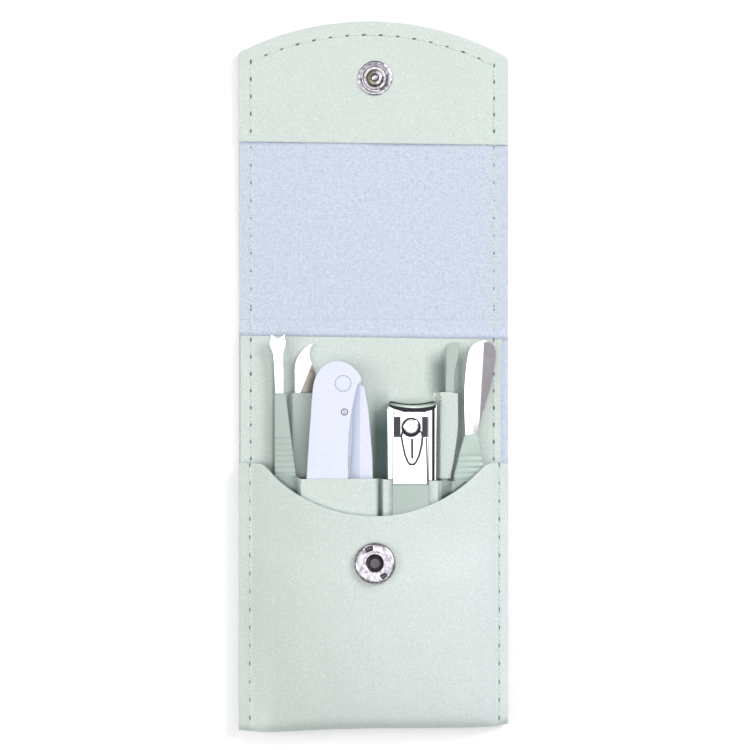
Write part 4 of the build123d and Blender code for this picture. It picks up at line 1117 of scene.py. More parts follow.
class MANICURE_OT_stitching(bpy.types.Operator):
    """Sew the visible stitches: pale thread between needle holes painted dark with shade"""

    bl_idname = "manicure.stitching"
    bl_label = "Stitching"

    def execute(self, context):
        sizes = context.scene.manicure_case_sizes
        pitch, width = sizes.stitch_pitch / MM, sizes.thread_width / MM
        clear_selection()
        bpy.ops.mesh.primitive_uv_sphere_add(segments=8, ring_count=6, radius=MM)
        thread = self.pattern("thread", (width / 2, 0.41 * pitch, 0.15), "sewing_thread")
        thread.data.shade_smooth()
        self.patterns = {"thread": thread}
        # Each hole is a flat dark disc, painted shade where the thread dives in.
        for kind, half_width, half_length in (("hole", 0.27, 0.66), ("pinhole", 0.17, 0.4)):
            clear_selection()
            bpy.ops.mesh.primitive_circle_add(vertices=10, radius=MM, fill_type="NGON")
            self.patterns[kind] = self.pattern(kind, (half_width, half_length, 1.0), "needle_hole_painted_shade")

        half = HALF_W - STITCH_INSET
        for name, front_x, back_x in (("left", -half + 0.2, -half + 0.3), ("right", half + 0.4, half - 1.0)):
            line = self.run_of(front_x, -96.0, FRONT_TOP_Y - 0.5, pitch, lambda y: front_height(front_x, y))
            low, high = FRONT_TOP_Y + 1.2, PANEL_HIGH.y - 0.8
            line += self.run_of(back_x, low, high, pitch, lambda y: PANEL_TOP + back_swell(back_x, y))
            self.sew(line, f"{name}_thread", "case", f"{name}_stitching")

        sides = (-half + 0.3, half - 0.9)
        line = []
        for x in sides:
            line += self.run_of(x, FOLD_Y + 0.6, FLAP_Y - 0.6, pitch, lambda y: PLATE_TOP, "pinhole")
        self.sew(line, "spine_thread", "spine", "spine_stitching")

        line = []
        arc_r = FLAP_ARC_R - ARC_STITCH_INSET
        arc_y = FLAP_TIP_Y - FLAP_ARC_R
        arc_pitch = 0.95 * pitch
        for x in sides:
            end_y = arc_y + math.sqrt(arc_r**2 - x**2) - FLAP_SKEW * x
            line += self.run_of(
                x, FLAP_Y + 0.4, FACING_BOTTOM_Y - 1.2, pitch, lambda y: PLATE_TOP + flap_rise(y), "pinhole"
            )
            line += self.run_of(x, FACING_BOTTOM_Y + 3.4, end_y, arc_pitch, lambda y: facing_height(x, y))
        first, last = (math.asin(x / arc_r) for x in sides)
        count = round((last - first) * arc_r / arc_pitch)
        step = (last - first) / count
        for i in range(count):
            for turn, kind in ((first + (i + 0.5) * step, "thread"), (first + (i + 1) * step, "hole")):
                if kind == "hole" and i == count - 1:
                    continue
                x = arc_r * math.sin(turn)
                y = arc_y + arc_r * math.cos(turn) - FLAP_SKEW * x
                line.append((kind, x, y, facing_height(x, y), math.pi / 2 - turn, REST_TILT))
        self.sew(line, "flap_thread", "flap", "flap_stitching")
        for pattern in self.patterns.values():
            bpy.data.objects.remove(pattern)
        return {"FINISHED"}

    def pattern(self, kind, size, material):
        """The piece that is copied for each stitch or hole."""
        piece = settle(bpy.context.object, f"{kind}_pattern")
        piece.data.transform(Matrix.Diagonal((*size, 1.0)))
        piece.data.materials.append(finish(material))
        return piece

    def run_of(self, x, y0, y1, pitch, height, hole="hole"):
        """Threads and the holes between them, along one side."""
        count = max(1, round((y1 - y0) / pitch))
        step = (y1 - y0) / count
        line = []
        for i in range(2 * count + 1):
            y = y0 + i // 2 * step + i % 2 * (step / 2)
            lean = math.atan2(height(y + 0.5) - height(y - 0.5), 1.0)
            line.append(("thread" if i % 2 else hole, x, y, height(y), 0.0, lean))
        return line

    def sew(self, line, name, body, node):
        """Copy the thread and the hole to each place, join them and ride them on their body."""
        copies = []
        for kind, x, y, z, turn, lean in line:
            pattern = self.patterns[kind]
            copy = pattern.copy()
            copy.data = pattern.data.copy()
            lift = 0.05 if kind == "thread" else 0.03
            uneven = 0.8 + 0.35 * (math.sin(12.99 * x + 78.2 * y) * 437.5 % 1.0)
            size = Matrix.Identity(4) if kind == "thread" else Matrix.Diagonal((uneven, uneven, 1.0, 1.0))
            place = Matrix.Translation(Vector((x, y, z + lift)) * MM)
            copy.data.transform(place @ Matrix.Rotation(turn, 4, "Z") @ Matrix.Rotation(lean, 4, "X") @ size)
            bpy.context.scene.collection.objects.link(copy)
            copies.append(copy)
        piece = join_pieces(copies, name)
        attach(piece, body)
        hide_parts(node)


def polar(at):
    """Distance of a place from the upright axis, and its angle round it in degrees."""
    return math.hypot(at.x, at.y), math.degrees(math.atan2(at.y, at.x))


def on_ring(at, inner, outer):
    return inner < polar(at)[0] < outer


def in_window(at, reach=16):
    """Whether a point of the socket lies in one of its two stamped windows."""
    return any(abs((polar(at)[1] - window + 180) % 360 - 180) < reach for window in (113, -59))


class MANICURE_OT_snap(bpy.types.Operator):
    """Turn the two halves of the press snap"""

    bl_idname = "manicure.snap"
    bl_label = "Press Snap"

    def execute(self, context):
        socket = turned_piece("socket_ring", [
            (2.5, 0.0), (5.55, 0.0), (5.78, 0.2), (5.8, 0.8), (5.74, 1.3), (5.6, 1.66), (5.35, 1.9),
            (4.95, 2.04), (4.35, 2.1), (3.7, 2.08), (3.4, 2.02), (3.1, 2.12), (2.75, 2.2), (2.5, 2.1),
            (2.38, 1.7), (2.5, 0.0),
        ])
        pick(socket, lambda at: at.z > 1.9 and on_ring(at, 3.6, 5.1) and in_window(at))
        extrude(z=-0.7)
        leave_edit()
        dress(socket, "case", "nickel", "nickel_snap", "dim_painted_shade_and_reflection", "nickel_rim_painted_reflection", replaced=("snap_socket",))
        # The ring's outer side is painted darker, as a reflection, and the floors of its windows dark, as
        # shade.
        paint(socket, 2, lambda at, normal: polar(at)[0] > 5.66)
        paint(socket, 1, lambda at, normal: on_ring(at, 3.6, 5.0) and 0.9 < at.z < 1.6 and in_window(at, 14))
        place_on_front(socket)
        # A dark well in the socket's hole, painted shade, less dark in its middle.
        well = turned_piece("socket_well", [
            (0.0, 0.24), (1.0, 0.22), (1.4, 0.3), (1.5, 0.14), (2.44, 0.12), (2.46, 0.9), (2.3, 0.9),
            (2.3, 0.3),
        ])
        place_on_front(well)
        dress(well, "case", "nickel", "shaded_steel", "dim_painted_shade_and_reflection")
        paint(well, 1, lambda at, normal: math.hypot(at.x - SNAP_X, at.y - SOCKET_Y) < 1.4)
        arc = turned_piece("socket_spring_arc", [
            (1.75, 1.1), (1.95, 1.0), (2.15, 1.1), (1.95, 1.3), (1.75, 1.1),
        ])
        pick(arc, lambda at: at.x > -0.9)
        bpy.ops.mesh.delete(type="VERT")
        leave_edit()
        place_on_front(arc)
        dress(arc, "case", "spring_steel", "nickel_snap")

        stud = turned_piece("stud_ring", [
            (1.5, 0.0), (4.6, 0.0), (4.85, 0.14), (4.8, 0.34), (4.55, 0.5), (4.15, 0.56), (3.95, 0.4),
            (3.75, 0.62), (3.45, 0.66), (3.2, 0.36), (2.5, 0.3), (2.2, 0.5), (1.95, 0.8), (1.95, 1.2),
            (2.2, 1.6), (2.2, 2.0), (2.0, 2.35), (1.6, 2.5), (1.2, 2.42), (0.9, 2.1), (0.5, 1.95),
            (0.0, 1.9),
        ])
        self.knurl(stud, 4.3, 0.45)
        dress(stud, "flap", "nickel", "nickel_snap", "dim_painted_shade_and_reflection", "warm_nickel_painted_reflection", replaced=("snap_stud",))
        # Dark arcs on the stud's groove and rim are painted reflections, and so is the olive crescent on the
        # left of its nipple.
        for face in stud.data.polygons:
            radius, angle = polar(face.center / MM)
            if (3.3 < radius < 3.7 and -68 < angle < 18) or (radius > 4.4 and abs(abs(angle) - 90) < 20):
                face.material_index = 1
            elif 0.95 < radius < 2.5 and abs(angle) > 75:
                face.material_index = 2
        place_on_flap(stud)
        dress_node("snap_spring", "nickel_snap")
        # The eyelet in the socket's hole is near-black, painted shade.
        dress_node("snap_eyelet", "shaded_steel")
        dress_node("snap_cap", "nickel_snap")
        return {"FINISHED"}

    def knurl(self, piece, rim, reach):
        """Press small notches round a rim."""
        for vertex in piece.data.vertices:
            at = vertex.co / MM
            radius, angle = polar(at)
            if abs(radius - rim) < reach and at.z > 0.3 and round(angle / 7.5) % 3 == 0:
                vertex.co.z -= 0.16 * MM


class MANICURE_OT_trimmer(bpy.types.Operator):
    """Model the forked cuticle trimmer and its ribbed handle"""

    bl_idname = "manicure.trimmer"
    bl_label = "Cuticle Trimmer"

    def execute(self, context):
        low, high = node_span("trimmer_blade")
        axis = -26.75
        rows = [
            (-5.1, -27.5, -25.1), (0.0, -27.75, -25.1), (4.8, -28.0, -25.2), (6.4, -28.25, -25.1),
            (7.8, -28.8, -24.7), (8.8, -29.1, -24.4), (9.6, -29.1, -24.4), (10.4, -28.7, -24.75),
            (11.0, -28.7, -24.7), (11.7, -28.75, -24.65),
        ]
        blade = cut_plate("trimmer_fork", rows, low.z, high.z)
        cut_along(blade, [axis])
        pick(blade, lambda at: abs(at.x - axis) < 0.05 and at.y > 9.5)
        resize(1.0, 0.44, (axis, 9.2, low.z))
        leave_edit()
        soften(blade, 0.16, 3)
        dress(blade, "trimmer", "tool_steel", "polished_steel", replaced=("trimmer_blade",))

        low, high = node_span("trimmer_handle")
        rows = [(-5.1, -27.7, -24.6), (-17.0, -27.7, -23.1), (-27.9, -27.7, -21.7), (low.y + 5, -27.7, -21.7),
                (low.y + 1.2, -27.0, -22.4), (low.y, -26.2, -23.2)]
        handle = ridged_handle("trimmer_grip", rows, low.z, high.z, -17.8, 12)
        soften(handle, 0.3, 3, 50)
        dress(handle, "trimmer", "mint_coating", "mint_coating_finish", replaced=("trimmer_handle",))
        return {"FINISHED"}


class MANICURE_OT_knife(bpy.types.Operator):
    """Model the hooked cuticle knife"""

    bl_idname = "manicure.knife"
    bl_label = "Hooked Knife"

    def execute(self, context):
        low, high = node_span("knife_blade")
        rows = [
            (-13.0, -20.5, -16.5), (-5.6, -22.1, -16.4), (0.8, -22.1, -16.4), (1.9, -22.08, -16.7),
            (3.0, -22.0, -17.2), (4.3, -21.7, -17.7), (5.6, -21.1, -17.95), (6.9, -20.2, -17.95),
            (7.9, -19.2, -17.6), (8.6, -18.3, -17.2), (9.0, -17.5, -17.0),
        ]
        blade = cut_plate("knife_hook", rows, low.z, high.z)
        slope_off(blade, (-17.6, 2.6), (0.93, -0.37), high.z, steepness=0.3)
        soften(blade, 0.14, 2, 30)
        # The blade's ground facet is painted darker and warmer, as a reflection.
        dress(blade, "knife", "tool_steel", "polished_steel", "knife_facet_painted_reflection", replaced=("knife_blade",))
        split_facet(blade)
        low, high = node_span("knife_handle")
        rows = [(-13.0, -20.5, -16.5), (low.y + 3, -20.5, -16.5), (low.y, -19.5, -17.5)]
        handle = ridged_handle("knife_grip", rows, low.z, high.z, -24.0, 12)
        soften(handle, 0.25, 2, 50)
        dress(handle, "knife", "mint_coating", "mint_coating_finish", replaced=("knife_handle",))
        return {"FINISHED"}


class MANICURE_OT_scissors(bpy.types.Operator):
    """Model the folded scissors with their white plates"""

    bl_idname = "manicure.scissors"
    bl_label = "Folding Scissors"

    def execute(self, context):
        low, high = node_span("scissors_front_handle")
        end = low.y
        rows = [
            (end, -15.7, -11.5), (end + 1.5, -17.2, -10.4), (end + 5.0, -18.4, -8.6), (-40.0, -18.7, -7.6),
            (-28.6, -18.7, -7.1), (-22.8, -18.35, -7.05), (-16.6, -17.95, -6.85), (-10.4, -17.5, -6.15),
            (-7.0, -17.25, -5.4), (-4.2, -17.0, -4.85), (-2.6, -16.8, -4.3), (-1.5, -16.55, -3.4),
            (-0.9, -16.35, -3.35), (0.3, -15.85, -3.95), (1.5, -15.05, -4.8), (2.6, -14.0, -6.0),
            (3.4, -12.85, -7.3), (3.9, -11.7, -8.6), (4.1, -10.8, -9.6),
        ]
        front = cut_plate("scissors_front_plate", rows, low.z, high.z)
        soften(front, 0.55, 4, 50)
        self.cover(front, "white_plastic_finish", replaced=("scissors_front_handle",))

        low, high = node_span("scissors_rear_handle")
        rows = [
            (end, -7.5, -3.2), (end + 2, -9.2, -1.4), (end + 6, -10.4, -0.2), (-28.6, -11.4, -0.2),
            (-22.8, -11.5, -0.3), (-16.6, -11.7, -0.8), (-10.4, -12.0, -1.3), (-3.1, -12.8, -2.6),
            (-2.2, -12.4, -4.3), (-0.4, -11.2, -5.6), (0.9, -9.6, -7.2),
        ]
        rear = cut_plate("scissors_rear_plate", rows, low.z, high.z)
        slope_off(rear, (-3.8, -12.0), (-1.0, 0.0), high.z, drop=0.5)
        soften(rear, 0.28, 3, 40)
        # The rear plate's lowered part is painted bluish grey, as shade.
        self.cover(rear, "white_plastic_finish", "plastic_recess_painted_shade", replaced=("scissors_rear_handle",))
        paint(rear, 1, lambda at, normal: normal.z > 0.9 and at.x < -3.9)

        top = node_span("scissors_pivot")[1].z
        cap = turned_piece("scissors_pivot_cap", [
            (0.0, top - 0.45), (2.1, top - 0.45), (2.1, top - 0.02), (1.95, top + 0.03), (0.0, top + 0.03),
        ], 40)
        # A thin dark ring round the pivot's cap, painted shade for its groove.
        groove = turned_piece("scissors_pivot_groove", [
            (2.08, top - 0.4), (2.36, top - 0.4), (2.36, top + 0.012), (2.08, top + 0.012), (2.08, top - 0.4),
        ], 40)
        for piece in (cap, groove):
            move_to(piece, *SCISSORS_PIVOT)
        self.cover(cap, "white_plastic_finish", replaced=("scissors_pivot",))
        self.cover(groove, "plastic_groove_painted_shade")

        rivet = turned_piece("scissors_front_rivet", [
            (0.0, top - 0.6), (1.0, top - 0.6), (1.0, top + 0.02), (0.82, top + 0.05), (0.62, top - 0.06),
            (0.4, top + 0.06), (0.0, top + 0.1),
        ], 24)
        # The rivet is painted darker steel, as a reflection, and its outer ring darker still, as shade.
        dress(rivet, "scissors", "spring_steel", "ground_facet_painted_reflection", "dim_painted_shade_and_reflection", replaced=("scissors_rivets",))
        paint(rivet, 1, lambda at, normal: polar(at)[0] > 0.58)
        move_to(rivet, *SCISSORS_RIVET)
        # The blades between the plates are painted darker and bluish, as shade.
        for name in ("scissors_blade_left", "scissors_blade_right"):
            dress_node(name, "blade_steel_painted_shade")
        return {"FINISHED"}

    def cover(self, piece, *finishes, replaced=()):
        dress(piece, "scissors", "white_plastic", *finishes, replaced=replaced)


class MANICURE_OT_clipper(bpy.types.Operator):
    """Model the nail clipper: arms with jaws, lever with its tongue, pin and coated tail"""

    bl_idname = "manicure.clipper"
    bl_label = "Nail Clipper"

    def execute(self, context):
        self.model_arms()
        self.model_lever()
        self.model_lines()
        self.model_tongue()
        self.model_pin()
        low, high = node_span("clipper_lever_grip")
        rows = [
            (-30.5, 5.25, 15.55), (low.y + 2.5, 5.25, 15.55), (low.y + 0.7, 6.1, 14.7), (low.y, 7.3, 13.5),
        ]
        grip = cut_plate("clipper_lever_tail", rows, low.z, high.z)
        soften(grip, 0.35, 3, 50)
        dress(grip, "clipper", "mint_coating", "mint_coating_finish", replaced=("clipper_lever_grip",))
        dress_node("clipper_rivet", "bright_chrome")
        return {"FINISHED"}

    def plate(self, piece, *finishes, body="clipper", replaced=()):
        """Dress a chromed piece of the clipper."""
        dress(piece, body, "chrome_plate", *finishes, replaced=replaced)

    def model_arms(self):
        low = node_span("clipper_upper_arm")[0]
        rows = [
            (low.y, 8.0, 13.6), (low.y + 1.5, 6.6, 15.0), (-58.0, 5.9, 15.7), (-28.8, 4.0, 17.6),
            (-20.0, 3.95, 17.65), (-12.0, 3.85, 17.75), (-10.0, 3.8, 17.8), (-9.2, 3.8, 17.8),
            (-8.5, 3.85, 17.75), (-7.9, 4.0, 17.6), (-7.4, 4.3, 17.3), (-7.0, 4.8, 16.8),
        ]
        arm = self.jaw_arm("clipper_top_arm", rows, 0.0, 1.0)
        rise = smooth_curve(
            [(-65, low.z), (-58, low.z), (-12, 6.46), (-10, 6.5), (-9, 6.42), (-8, 6.15), (-7, 5.6)]
        )
        raise_along(arm, rise)
        soften(arm, 0.25, 3, 50)
        lower = self.jaw_arm("clipper_bottom_arm", rows, node_span("clipper_lower_arm")[0].z, 4.48)
        for vertex in lower.data.vertices:
            if vertex.co.z > 4.2 * MM:
                vertex.co.z += 0.08 * step_up(vertex.co.y / MM, -9.5, -8.0) * MM
        soften(lower, 0.2, 2, 50)
        self.plate(lower, "bright_chrome", replaced=("clipper_lower_arm",))
        # The arm's jaw bevel is painted green, as a reflection of the leather.
        self.plate(arm, "bright_chrome", "jaw_bevel_painted_reflection", body="clipper_jaw", replaced=("clipper_upper_arm",))
        paint(arm, 1, lambda at, normal: at.y > -9.3 and normal.z > 0.4)

        # Dark strips of painted shade and dark reflection: along the arm's right side, at the jaw's cutting
        # edge and in a band below it.
        painted_shade_strips = [cut_plate("painted_shade_strip", [(y, 16.35, 17.15) for y in spread(-30.5, -9.4, 24)], 0.97, 1.04)]
        for stations in (
            [
                (4.2, -8.0, -8.5), (5.5, -8.4, -9.3), (7.5, -8.75, -9.9), (9.5, -9.0, -10.2),
                (11.5, -9.1, -10.3), (13.5, -9.0, -10.2), (15.5, -8.75, -9.9), (16.8, -8.45, -9.6),
                (17.5, -8.0, -9.0),
            ],
            [
                (5.0, -7.15, -7.35), (7.0, -7.6, -7.85), (9.0, -7.9, -8.15), (11.0, -8.0, -8.25),
                (13.0, -7.9, -8.15), (15.0, -7.55, -7.8), (16.8, -7.1, -7.35),
            ],
        ):
            painted_shade_strip = cut_plate("painted_shade_strip", [(x, -y1, -y0) for x, y1, y0 in stations], 0.9, 1.1)
            painted_shade_strip.data.transform(Matrix.Rotation(-math.pi / 2, 4, "Z"))
            painted_shade_strips.append(painted_shade_strip)
        painted_shade_strips = join_pieces(painted_shade_strips, "clipper_arm_painted_shade_strips")
        raise_along(painted_shade_strips, rise)
        self.plate(painted_shade_strips, "shaded_steel", body="clipper_jaw")

    def jaw_arm(self, name, rows, low, high):
        """An arm of the clipper with its cutting edge curved in."""
        arm = cut_plate(name, rows, low, high)
        cut_along(arm, (6.5, 8.0, 9.4, 10.8, 12.2, 13.6, 15.1))
        leave_edit()
        for vertex in arm.data.vertices:
            at = vertex.co / MM
            hollow = max(0.0, 1 - ((at.x - 10.8) / 6.0) ** 2)
            vertex.co.y -= 0.8 * hollow * step_up(at.y, -9.6, -7.0) * MM
        return arm

    def model_lever(self):
        rows = [
            (-30.5, 5.25, 15.55), (-14.0, 5.25, 15.55), (-11.2, 5.25, 15.55), (-10.4, 5.5, 15.3),
            (-10.05, 6.0, 14.8),
        ]
        lever = cut_plate("clipper_lever_plate", rows, LEVER_BASE, LEVER_TOP)
        soften(lever, 0.28, 3, 50)
        feet = [
            cut_plate("foot", [(-12.7, x - 1.2, x + 1.2), (-10.6, x - 1.2, x + 1.2)], 7.6, LEVER_BASE + 0.1)
            for x in (6.9, 13.9)
        ]
        lever = join_pieces([lever, *feet], "clipper_lever_plate")
        self.plate(lever, "bright_chrome", replaced=("clipper_lever",))

    def model_lines(self):
        """Dark plates of painted shade in the lever's windows and slot, and dark lines of painted shade along
        its sides.
        """
        windows = [
            cut_plate(
                "window", [(-17.2, left, right), (-14.6, left, right + 0.02), (-11.5, left, right)],
                LEVER_TOP - 0.2, LEVER_TOP + 0.015,
            )
            for left, right in ((5.6, 7.55), (13.55, 15.2))
        ]
        slot = [(-23.2, 10.5, 11.1), (-20.0, 10.45, 11.1), (-17.6, 10.45, 11.1)]
        windows.append(cut_plate("slot", slot, LEVER_TOP, LEVER_TOP + 0.46))
        self.plate(join_pieces(windows, "clipper_lever_windows"), "clipper_recess_painted_shade")
        lines = [
            cut_plate("line", rows, LEVER_TOP - 0.1, LEVER_TOP + 0.015)
            for rows in (
                [(-30.5, 14.9, 15.35), (-24.0, 14.75, 15.2), (-17.4, 14.55, 15.0)],
                [(-30.5, 5.4, 5.55), (-24.0, 5.4, 5.55), (-17.4, 5.4, 5.55)],
            )
        ]
        self.plate(join_pieces(lines, "clipper_lever_lines"), "dim_painted_shade_and_reflection")

    def model_tongue(self):
        """The lever's raised tongue and a dark border round it, painted shade."""
        rows = [
            (-24.7, 10.4, 11.0), (-24.1, 9.7, 11.8), (-22.4, 9.0, 12.6), (-19.6, 8.4, 13.3),
            (-16.9, 7.9, 13.6), (-15.8, 8.3, 13.0),
        ]
        around = 0.42
        border = [(y, left - around, right + around) for y, left, right in rows]
        border[0] = (rows[0][0] - around, *border[0][1:])
        border[-1] = (rows[-1][0] + 0.35, *border[-1][1:])
        border = cut_plate("clipper_tongue_border", border, LEVER_TOP - 0.1, LEVER_TOP + 0.03)
        self.plate(border, "clipper_recess_painted_shade")
        tongue = cut_plate("clipper_lever_tongue", rows, LEVER_TOP - 0.1, LEVER_TOP + 0.42)
        soften(tongue, 0.38, 4, 40)
        self.plate(tongue, "bright_chrome")

    def model_pin(self):
        low, top = node_span("clipper_pin")[0].z, LEVER_TOP
        seat = turned_piece("clipper_pin_seat", [
            (1.7, top - 0.2), (2.75, top - 0.2), (2.75, top + 0.45), (2.5, top + 0.5), (1.7, top + 0.5),
            (1.7, top - 0.2),
        ], 40)
        head = turned_piece("clipper_pin_head", [
            (0.0, low), (1.2, low), (1.2, top), (2.0, top), (2.1, top + 0.3), (2.05, top + 0.6),
            (1.8, top + 0.75), (1.1, top + 0.8), (0.0, top + 0.8),
        ], 40)
        move_to(seat, CLIPPER_PIN_X, -14.45)
        move_to(head, CLIPPER_PIN_X, -14.15)
        # The seat is a dark ring round the pin's head, painted shade.
        self.plate(seat, "shaded_steel")
        self.plate(head, "bright_chrome", replaced=("clipper_pin",))


class MANICURE_OT_tweezers(bpy.types.Operator):
    """Model the mint tweezers, which stand with their closed end up"""

    bl_idname = "manicure.tweezers"
    bl_label = "Tweezers"

    def execute(self, context):
        outline = [
            (-28.8, 18.9, 21.0), (-12.5, 19.8, 22.75), (-5.0, 20.25, 22.7), (0.0, 20.3, 22.65),
            (2.7, 20.6, 23.2), (5.0, 20.45, 23.75), (7.0, 20.35, 24.1), (8.2, 20.6, 24.2),
            (9.0, 21.3, 23.9),
        ]
        low, high = node_span("tweezers_rear_arm")
        split = (low.z + high.z) / 2 + 0.1
        tip = [(low.y, 19.1, 20.8), (low.y + 3, 18.9, 21.0)]
        rear = cut_plate("tweezers_back_arm", tip + outline, low.z, low.z + 0.58)
        soften(rear, 0.14, 2, 50)
        inner = [(y, left + 0.3, right - 0.3) for y, left, right in outline[3:]]
        weld = cut_plate("tweezers_weld", inner, low.z + 0.5, split)
        rear = join_pieces([rear, weld], "tweezers_back_arm")
        dress(rear, "tweezers", "mint_coating", "mint_coating_finish", replaced=("tweezers_rear_arm",))

        low, high = node_span("tweezers_front_arm")
        tip = [(low.y, 19.1, 20.8), (low.y + 3, 18.9, 21.0)]
        rows = [*tip, outline[0], (-18.0, 19.5, 22.1), *outline[1:]]
        front = cut_plate("tweezers_arm_front", rows, high.z - 0.6, high.z)
        cut_along(front, (21.0, 21.9))
        pick(front, lambda at: 20.95 < at.x < 21.95 and at.z > high.z - 0.05 and -14 < at.y < 8.0)
        shift(z=-0.22)
        leave_edit()
        soften(front, 0.16, 2, 20)
        raise_along(front, lambda y: -0.2 * step_up(y, -18.0, 0.0))
        body = "tweezers_spring_arm"
        dress(front, body, "mint_coating", "mint_coating_finish", replaced=("tweezers_front_arm",))
        return {"FINISHED"}


class MANICURE_OT_pusher(bpy.types.Operator):
    """Model the cuticle pusher with its broad spade"""

    bl_idname = "manicure.pusher"
    bl_label = "Cuticle Pusher"

    def execute(self, context):
        rows = [
            (-16.6, 25.5, 29.1), (-11.6, 25.3, 30.2), (-8.3, 25.2, 31.3), (-4.1, 25.2, 32.8),
            (1.5, 25.65, 34.0), (4.5, 26.0, 34.5), (6.6, 26.4, 34.6), (7.9, 27.0, 34.2), (8.8, 27.8, 33.5),
            (9.4, 28.8, 32.5), (9.7, 29.9, 31.3),
        ]
        top = PUSHER_BASE + 1.2
        blade = cut_plate("pusher_spade", rows, PUSHER_BASE + 0.2, top)
        slope_off(blade, (30.35, 0.0), (0.998, -0.06), top, steepness=0.2)
        soften(blade, 0.2, 3, 25)
        # The spade's ground facet is painted darker, as a reflection.
        dress(blade, "pusher", "tool_steel", "polished_steel", "ground_facet_painted_reflection", replaced=("pusher_blade",))
        split_facet(blade)
        self.lean(blade)
        low = node_span("pusher_handle")[0]
        rows = [(-16.5, 25.4, 29.2), (-20.9, 24.1, 30.0), (-27.9, 22.4, 31.4), (low.y + 5, 22.4, 31.4),
                (low.y + 1.2, 23.6, 30.2), (low.y, 24.9, 28.9)]
        handle = ridged_handle("pusher_grip", rows, PUSHER_BASE, PUSHER_BASE + 1.4, -22.7, 10)
        soften(handle, 0.3, 3, 50)
        self.lean(handle)
        # The handle wears the lighter copy of the coating, painted light.
        dress(handle, "pusher", "mint_coating", "pusher_coating_painted_light", replaced=("pusher_handle",))
        return {"FINISHED"}

    def lean(self, piece):
        """Lean a piece against the tweezers' sleeve, right side down."""
        foot = Matrix.Translation(Vector((PUSHER_EDGE_X, 0.0, PUSHER_BASE)) * MM)
        piece.data.transform(foot @ Matrix.Rotation(PUSHER_LEAN, 4, "Y") @ foot.inverted())


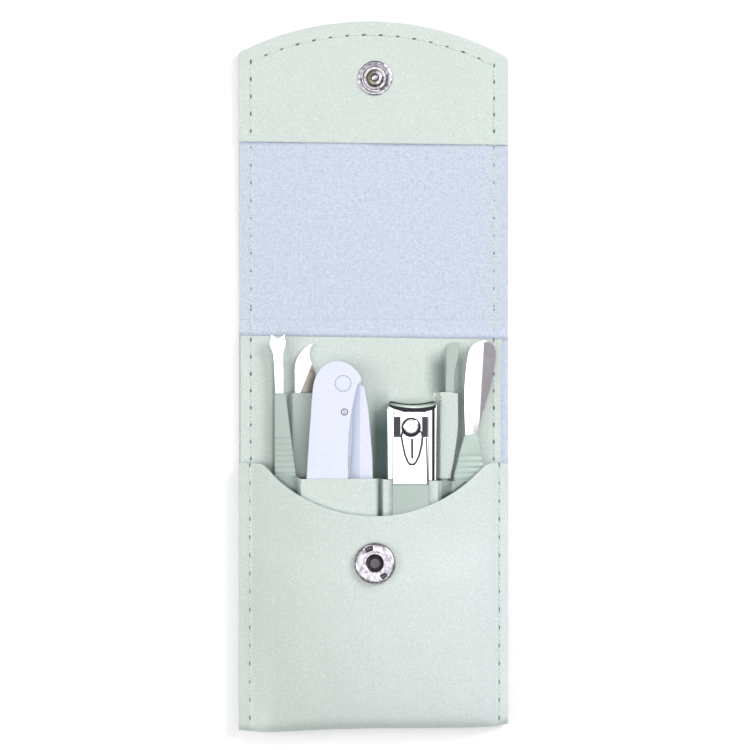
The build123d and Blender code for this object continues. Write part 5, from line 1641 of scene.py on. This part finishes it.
class MANICURE_OT_stage(bpy.types.Operator):
    """Set the white floor, the soft lights and the camera"""

    bl_idname = "manicure.stage"
    bl_label = "Stage"

    def execute(self, context):
        clear_selection()
        bpy.ops.mesh.primitive_plane_add(size=4.0, location=(0, 0, -0.0002))
        floor = settle(bpy.context.object, "floor")
        self.paper()
        floor.data.materials.append(bpy.data.materials["white_floor"])
        self.studio(context)
        for name, place, size, power, colour in (
            ("left_light", (-0.55, -0.05, 0.52), 0.34, 1.45, (1.0, 0.995, 0.98)),
            ("right_light", (0.50, 0.36, 0.52), 0.34, 3.2, (0.985, 0.995, 1.0)),
            ("top_light", (0.0, -0.10, 1.10), 1.0, 3.7, (1.0, 1.0, 1.0)),
        ):
            lamp = bpy.data.lights.new(name, "AREA")
            lamp.energy = power
            lamp.size = size
            lamp.color = colour
            light = bpy.data.objects.new(name, lamp)
            light.location = place
            light.rotation_euler = (-Vector(place)).to_track_quat("-Z", "Y").to_euler()
            context.scene.collection.objects.link(light)

        lens = bpy.data.cameras.new("photo_camera")
        lens.lens = LENS
        lens.sensor_width = SENSOR
        camera = bpy.data.objects.new("photo_camera", lens)
        camera.location = (0.00042, 0.00014, FOCUS_HEIGHT + VIEW_WIDTH * LENS / SENSOR)
        context.scene.collection.objects.link(camera)
        context.scene.camera = camera
        context.scene.view_settings.view_transform = "Standard"
        return {"FINISHED"}

    def studio(self, context):
        """Even world light; the camera and bright metal see a white ceiling over a dark surround."""
        world = bpy.data.worlds.new("studio")
        context.scene.world = world
        world.use_nodes = True
        tree = world.node_tree
        rays = tree.nodes.new("ShaderNodeLightPath").outputs
        where = tree.nodes.new("ShaderNodeTexCoord").outputs["Generated"]
        height = add_node(tree, "ShaderNodeSeparateXYZ", {"Vector": where}).outputs["Z"]
        ceiling = remap(tree, height, 0.4, 0.88, 0.04, 0.95)
        metal = combine(tree, "MULTIPLY", rays["Is Glossy Ray"], ceiling)
        clear = combine(tree, "MAXIMUM", rays["Is Camera Ray"], rays["Is Transmission Ray"])
        diffuse = combine(tree, "MULTIPLY", rays["Is Diffuse Ray"], WORLD_LEVEL)
        level = combine(tree, "ADD", combine(tree, "ADD", metal, clear), diffuse)
        background = tree.nodes["Background"]
        feed(tree, background.inputs["Strength"], level)
        feed(tree, background.inputs["Color"], (1.0, 1.0, 1.0))

    def paper(self):
        """White paper that the camera sees at full white, with the object's shadow kept."""
        tree = start_material("white_floor")
        where = object_place(tree)
        tone = blend_colours(tree, noise(tree, where, 300.0, 2.0), (0.93, 0.93, 0.93), (0.95, 0.95, 0.95))
        away = add_node(tree, "ShaderNodeVectorMath", {0: where}, operation="LENGTH").outputs["Value"]
        glow = remap(tree, away, 0.25, 1.3, 0.16, 0.8)
        seen = tree.nodes.new("ShaderNodeLightPath").outputs["Is Camera Ray"]
        surface = {
            "Base Color": tone, "Roughness": 0.9, "Emission Color": (1.0, 1.0, 1.0),
            "Emission Strength": combine(tree, "MULTIPLY", seen, glow),
        }
        for name, value in surface.items():
            feed(tree, tree.nodes["Principled BSDF"].inputs[name], value)


class MANICURE_PT_case(bpy.types.Panel):
    bl_label = "Manicure Case"
    bl_idname = "MANICURE_PT_case"
    bl_space_type = "VIEW_3D"
    bl_region_type = "UI"
    bl_category = "Manicure Case"

    def draw(self, context):
        for group in (context.scene.manicure_case_sizes, context.scene.manicure_case_colours):
            for name in group.bl_rna.properties.keys():
                if name not in ("rna_type", "name"):
                    self.layout.prop(group, name)
        for operator in OPERATORS:
            self.layout.operator(operator.bl_idname)


OPERATORS = (
    MANICURE_OT_stage,
    MANICURE_OT_leather,
    MANICURE_OT_lining,
    MANICURE_OT_pockets,
    MANICURE_OT_stitching,
    MANICURE_OT_snap,
    MANICURE_OT_trimmer,
    MANICURE_OT_knife,
    MANICURE_OT_scissors,
    MANICURE_OT_clipper,
    MANICURE_OT_tweezers,
    MANICURE_OT_pusher,
)
CLASSES = (ManicureCaseSizes, ManicureCaseColours, MANICURE_PT_case, *OPERATORS)


def register():
    for item in CLASSES:
        bpy.utils.register_class(item)
    bpy.types.Scene.manicure_case_sizes = bpy.props.PointerProperty(type=ManicureCaseSizes)
    bpy.types.Scene.manicure_case_colours = bpy.props.PointerProperty(type=ManicureCaseColours)


def unregister():
    del bpy.types.Scene.manicure_case_colours
    del bpy.types.Scene.manicure_case_sizes
    for item in reversed(CLASSES):
        bpy.utils.unregister_class(item)


def main():
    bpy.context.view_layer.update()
    register()
    bpy.ops.manicure.stage()
    bpy.ops.manicure.leather()
    bpy.ops.manicure.lining()
    bpy.ops.manicure.pockets()
    bpy.ops.manicure.stitching()
    bpy.ops.manicure.snap()
    bpy.ops.manicure.trimmer()
    bpy.ops.manicure.knife()
    bpy.ops.manicure.scissors()
    bpy.ops.manicure.clipper()
    bpy.ops.manicure.tweezers()
    bpy.ops.manicure.pusher()
    clear_selection()


if __name__ == "__main__":
    main()
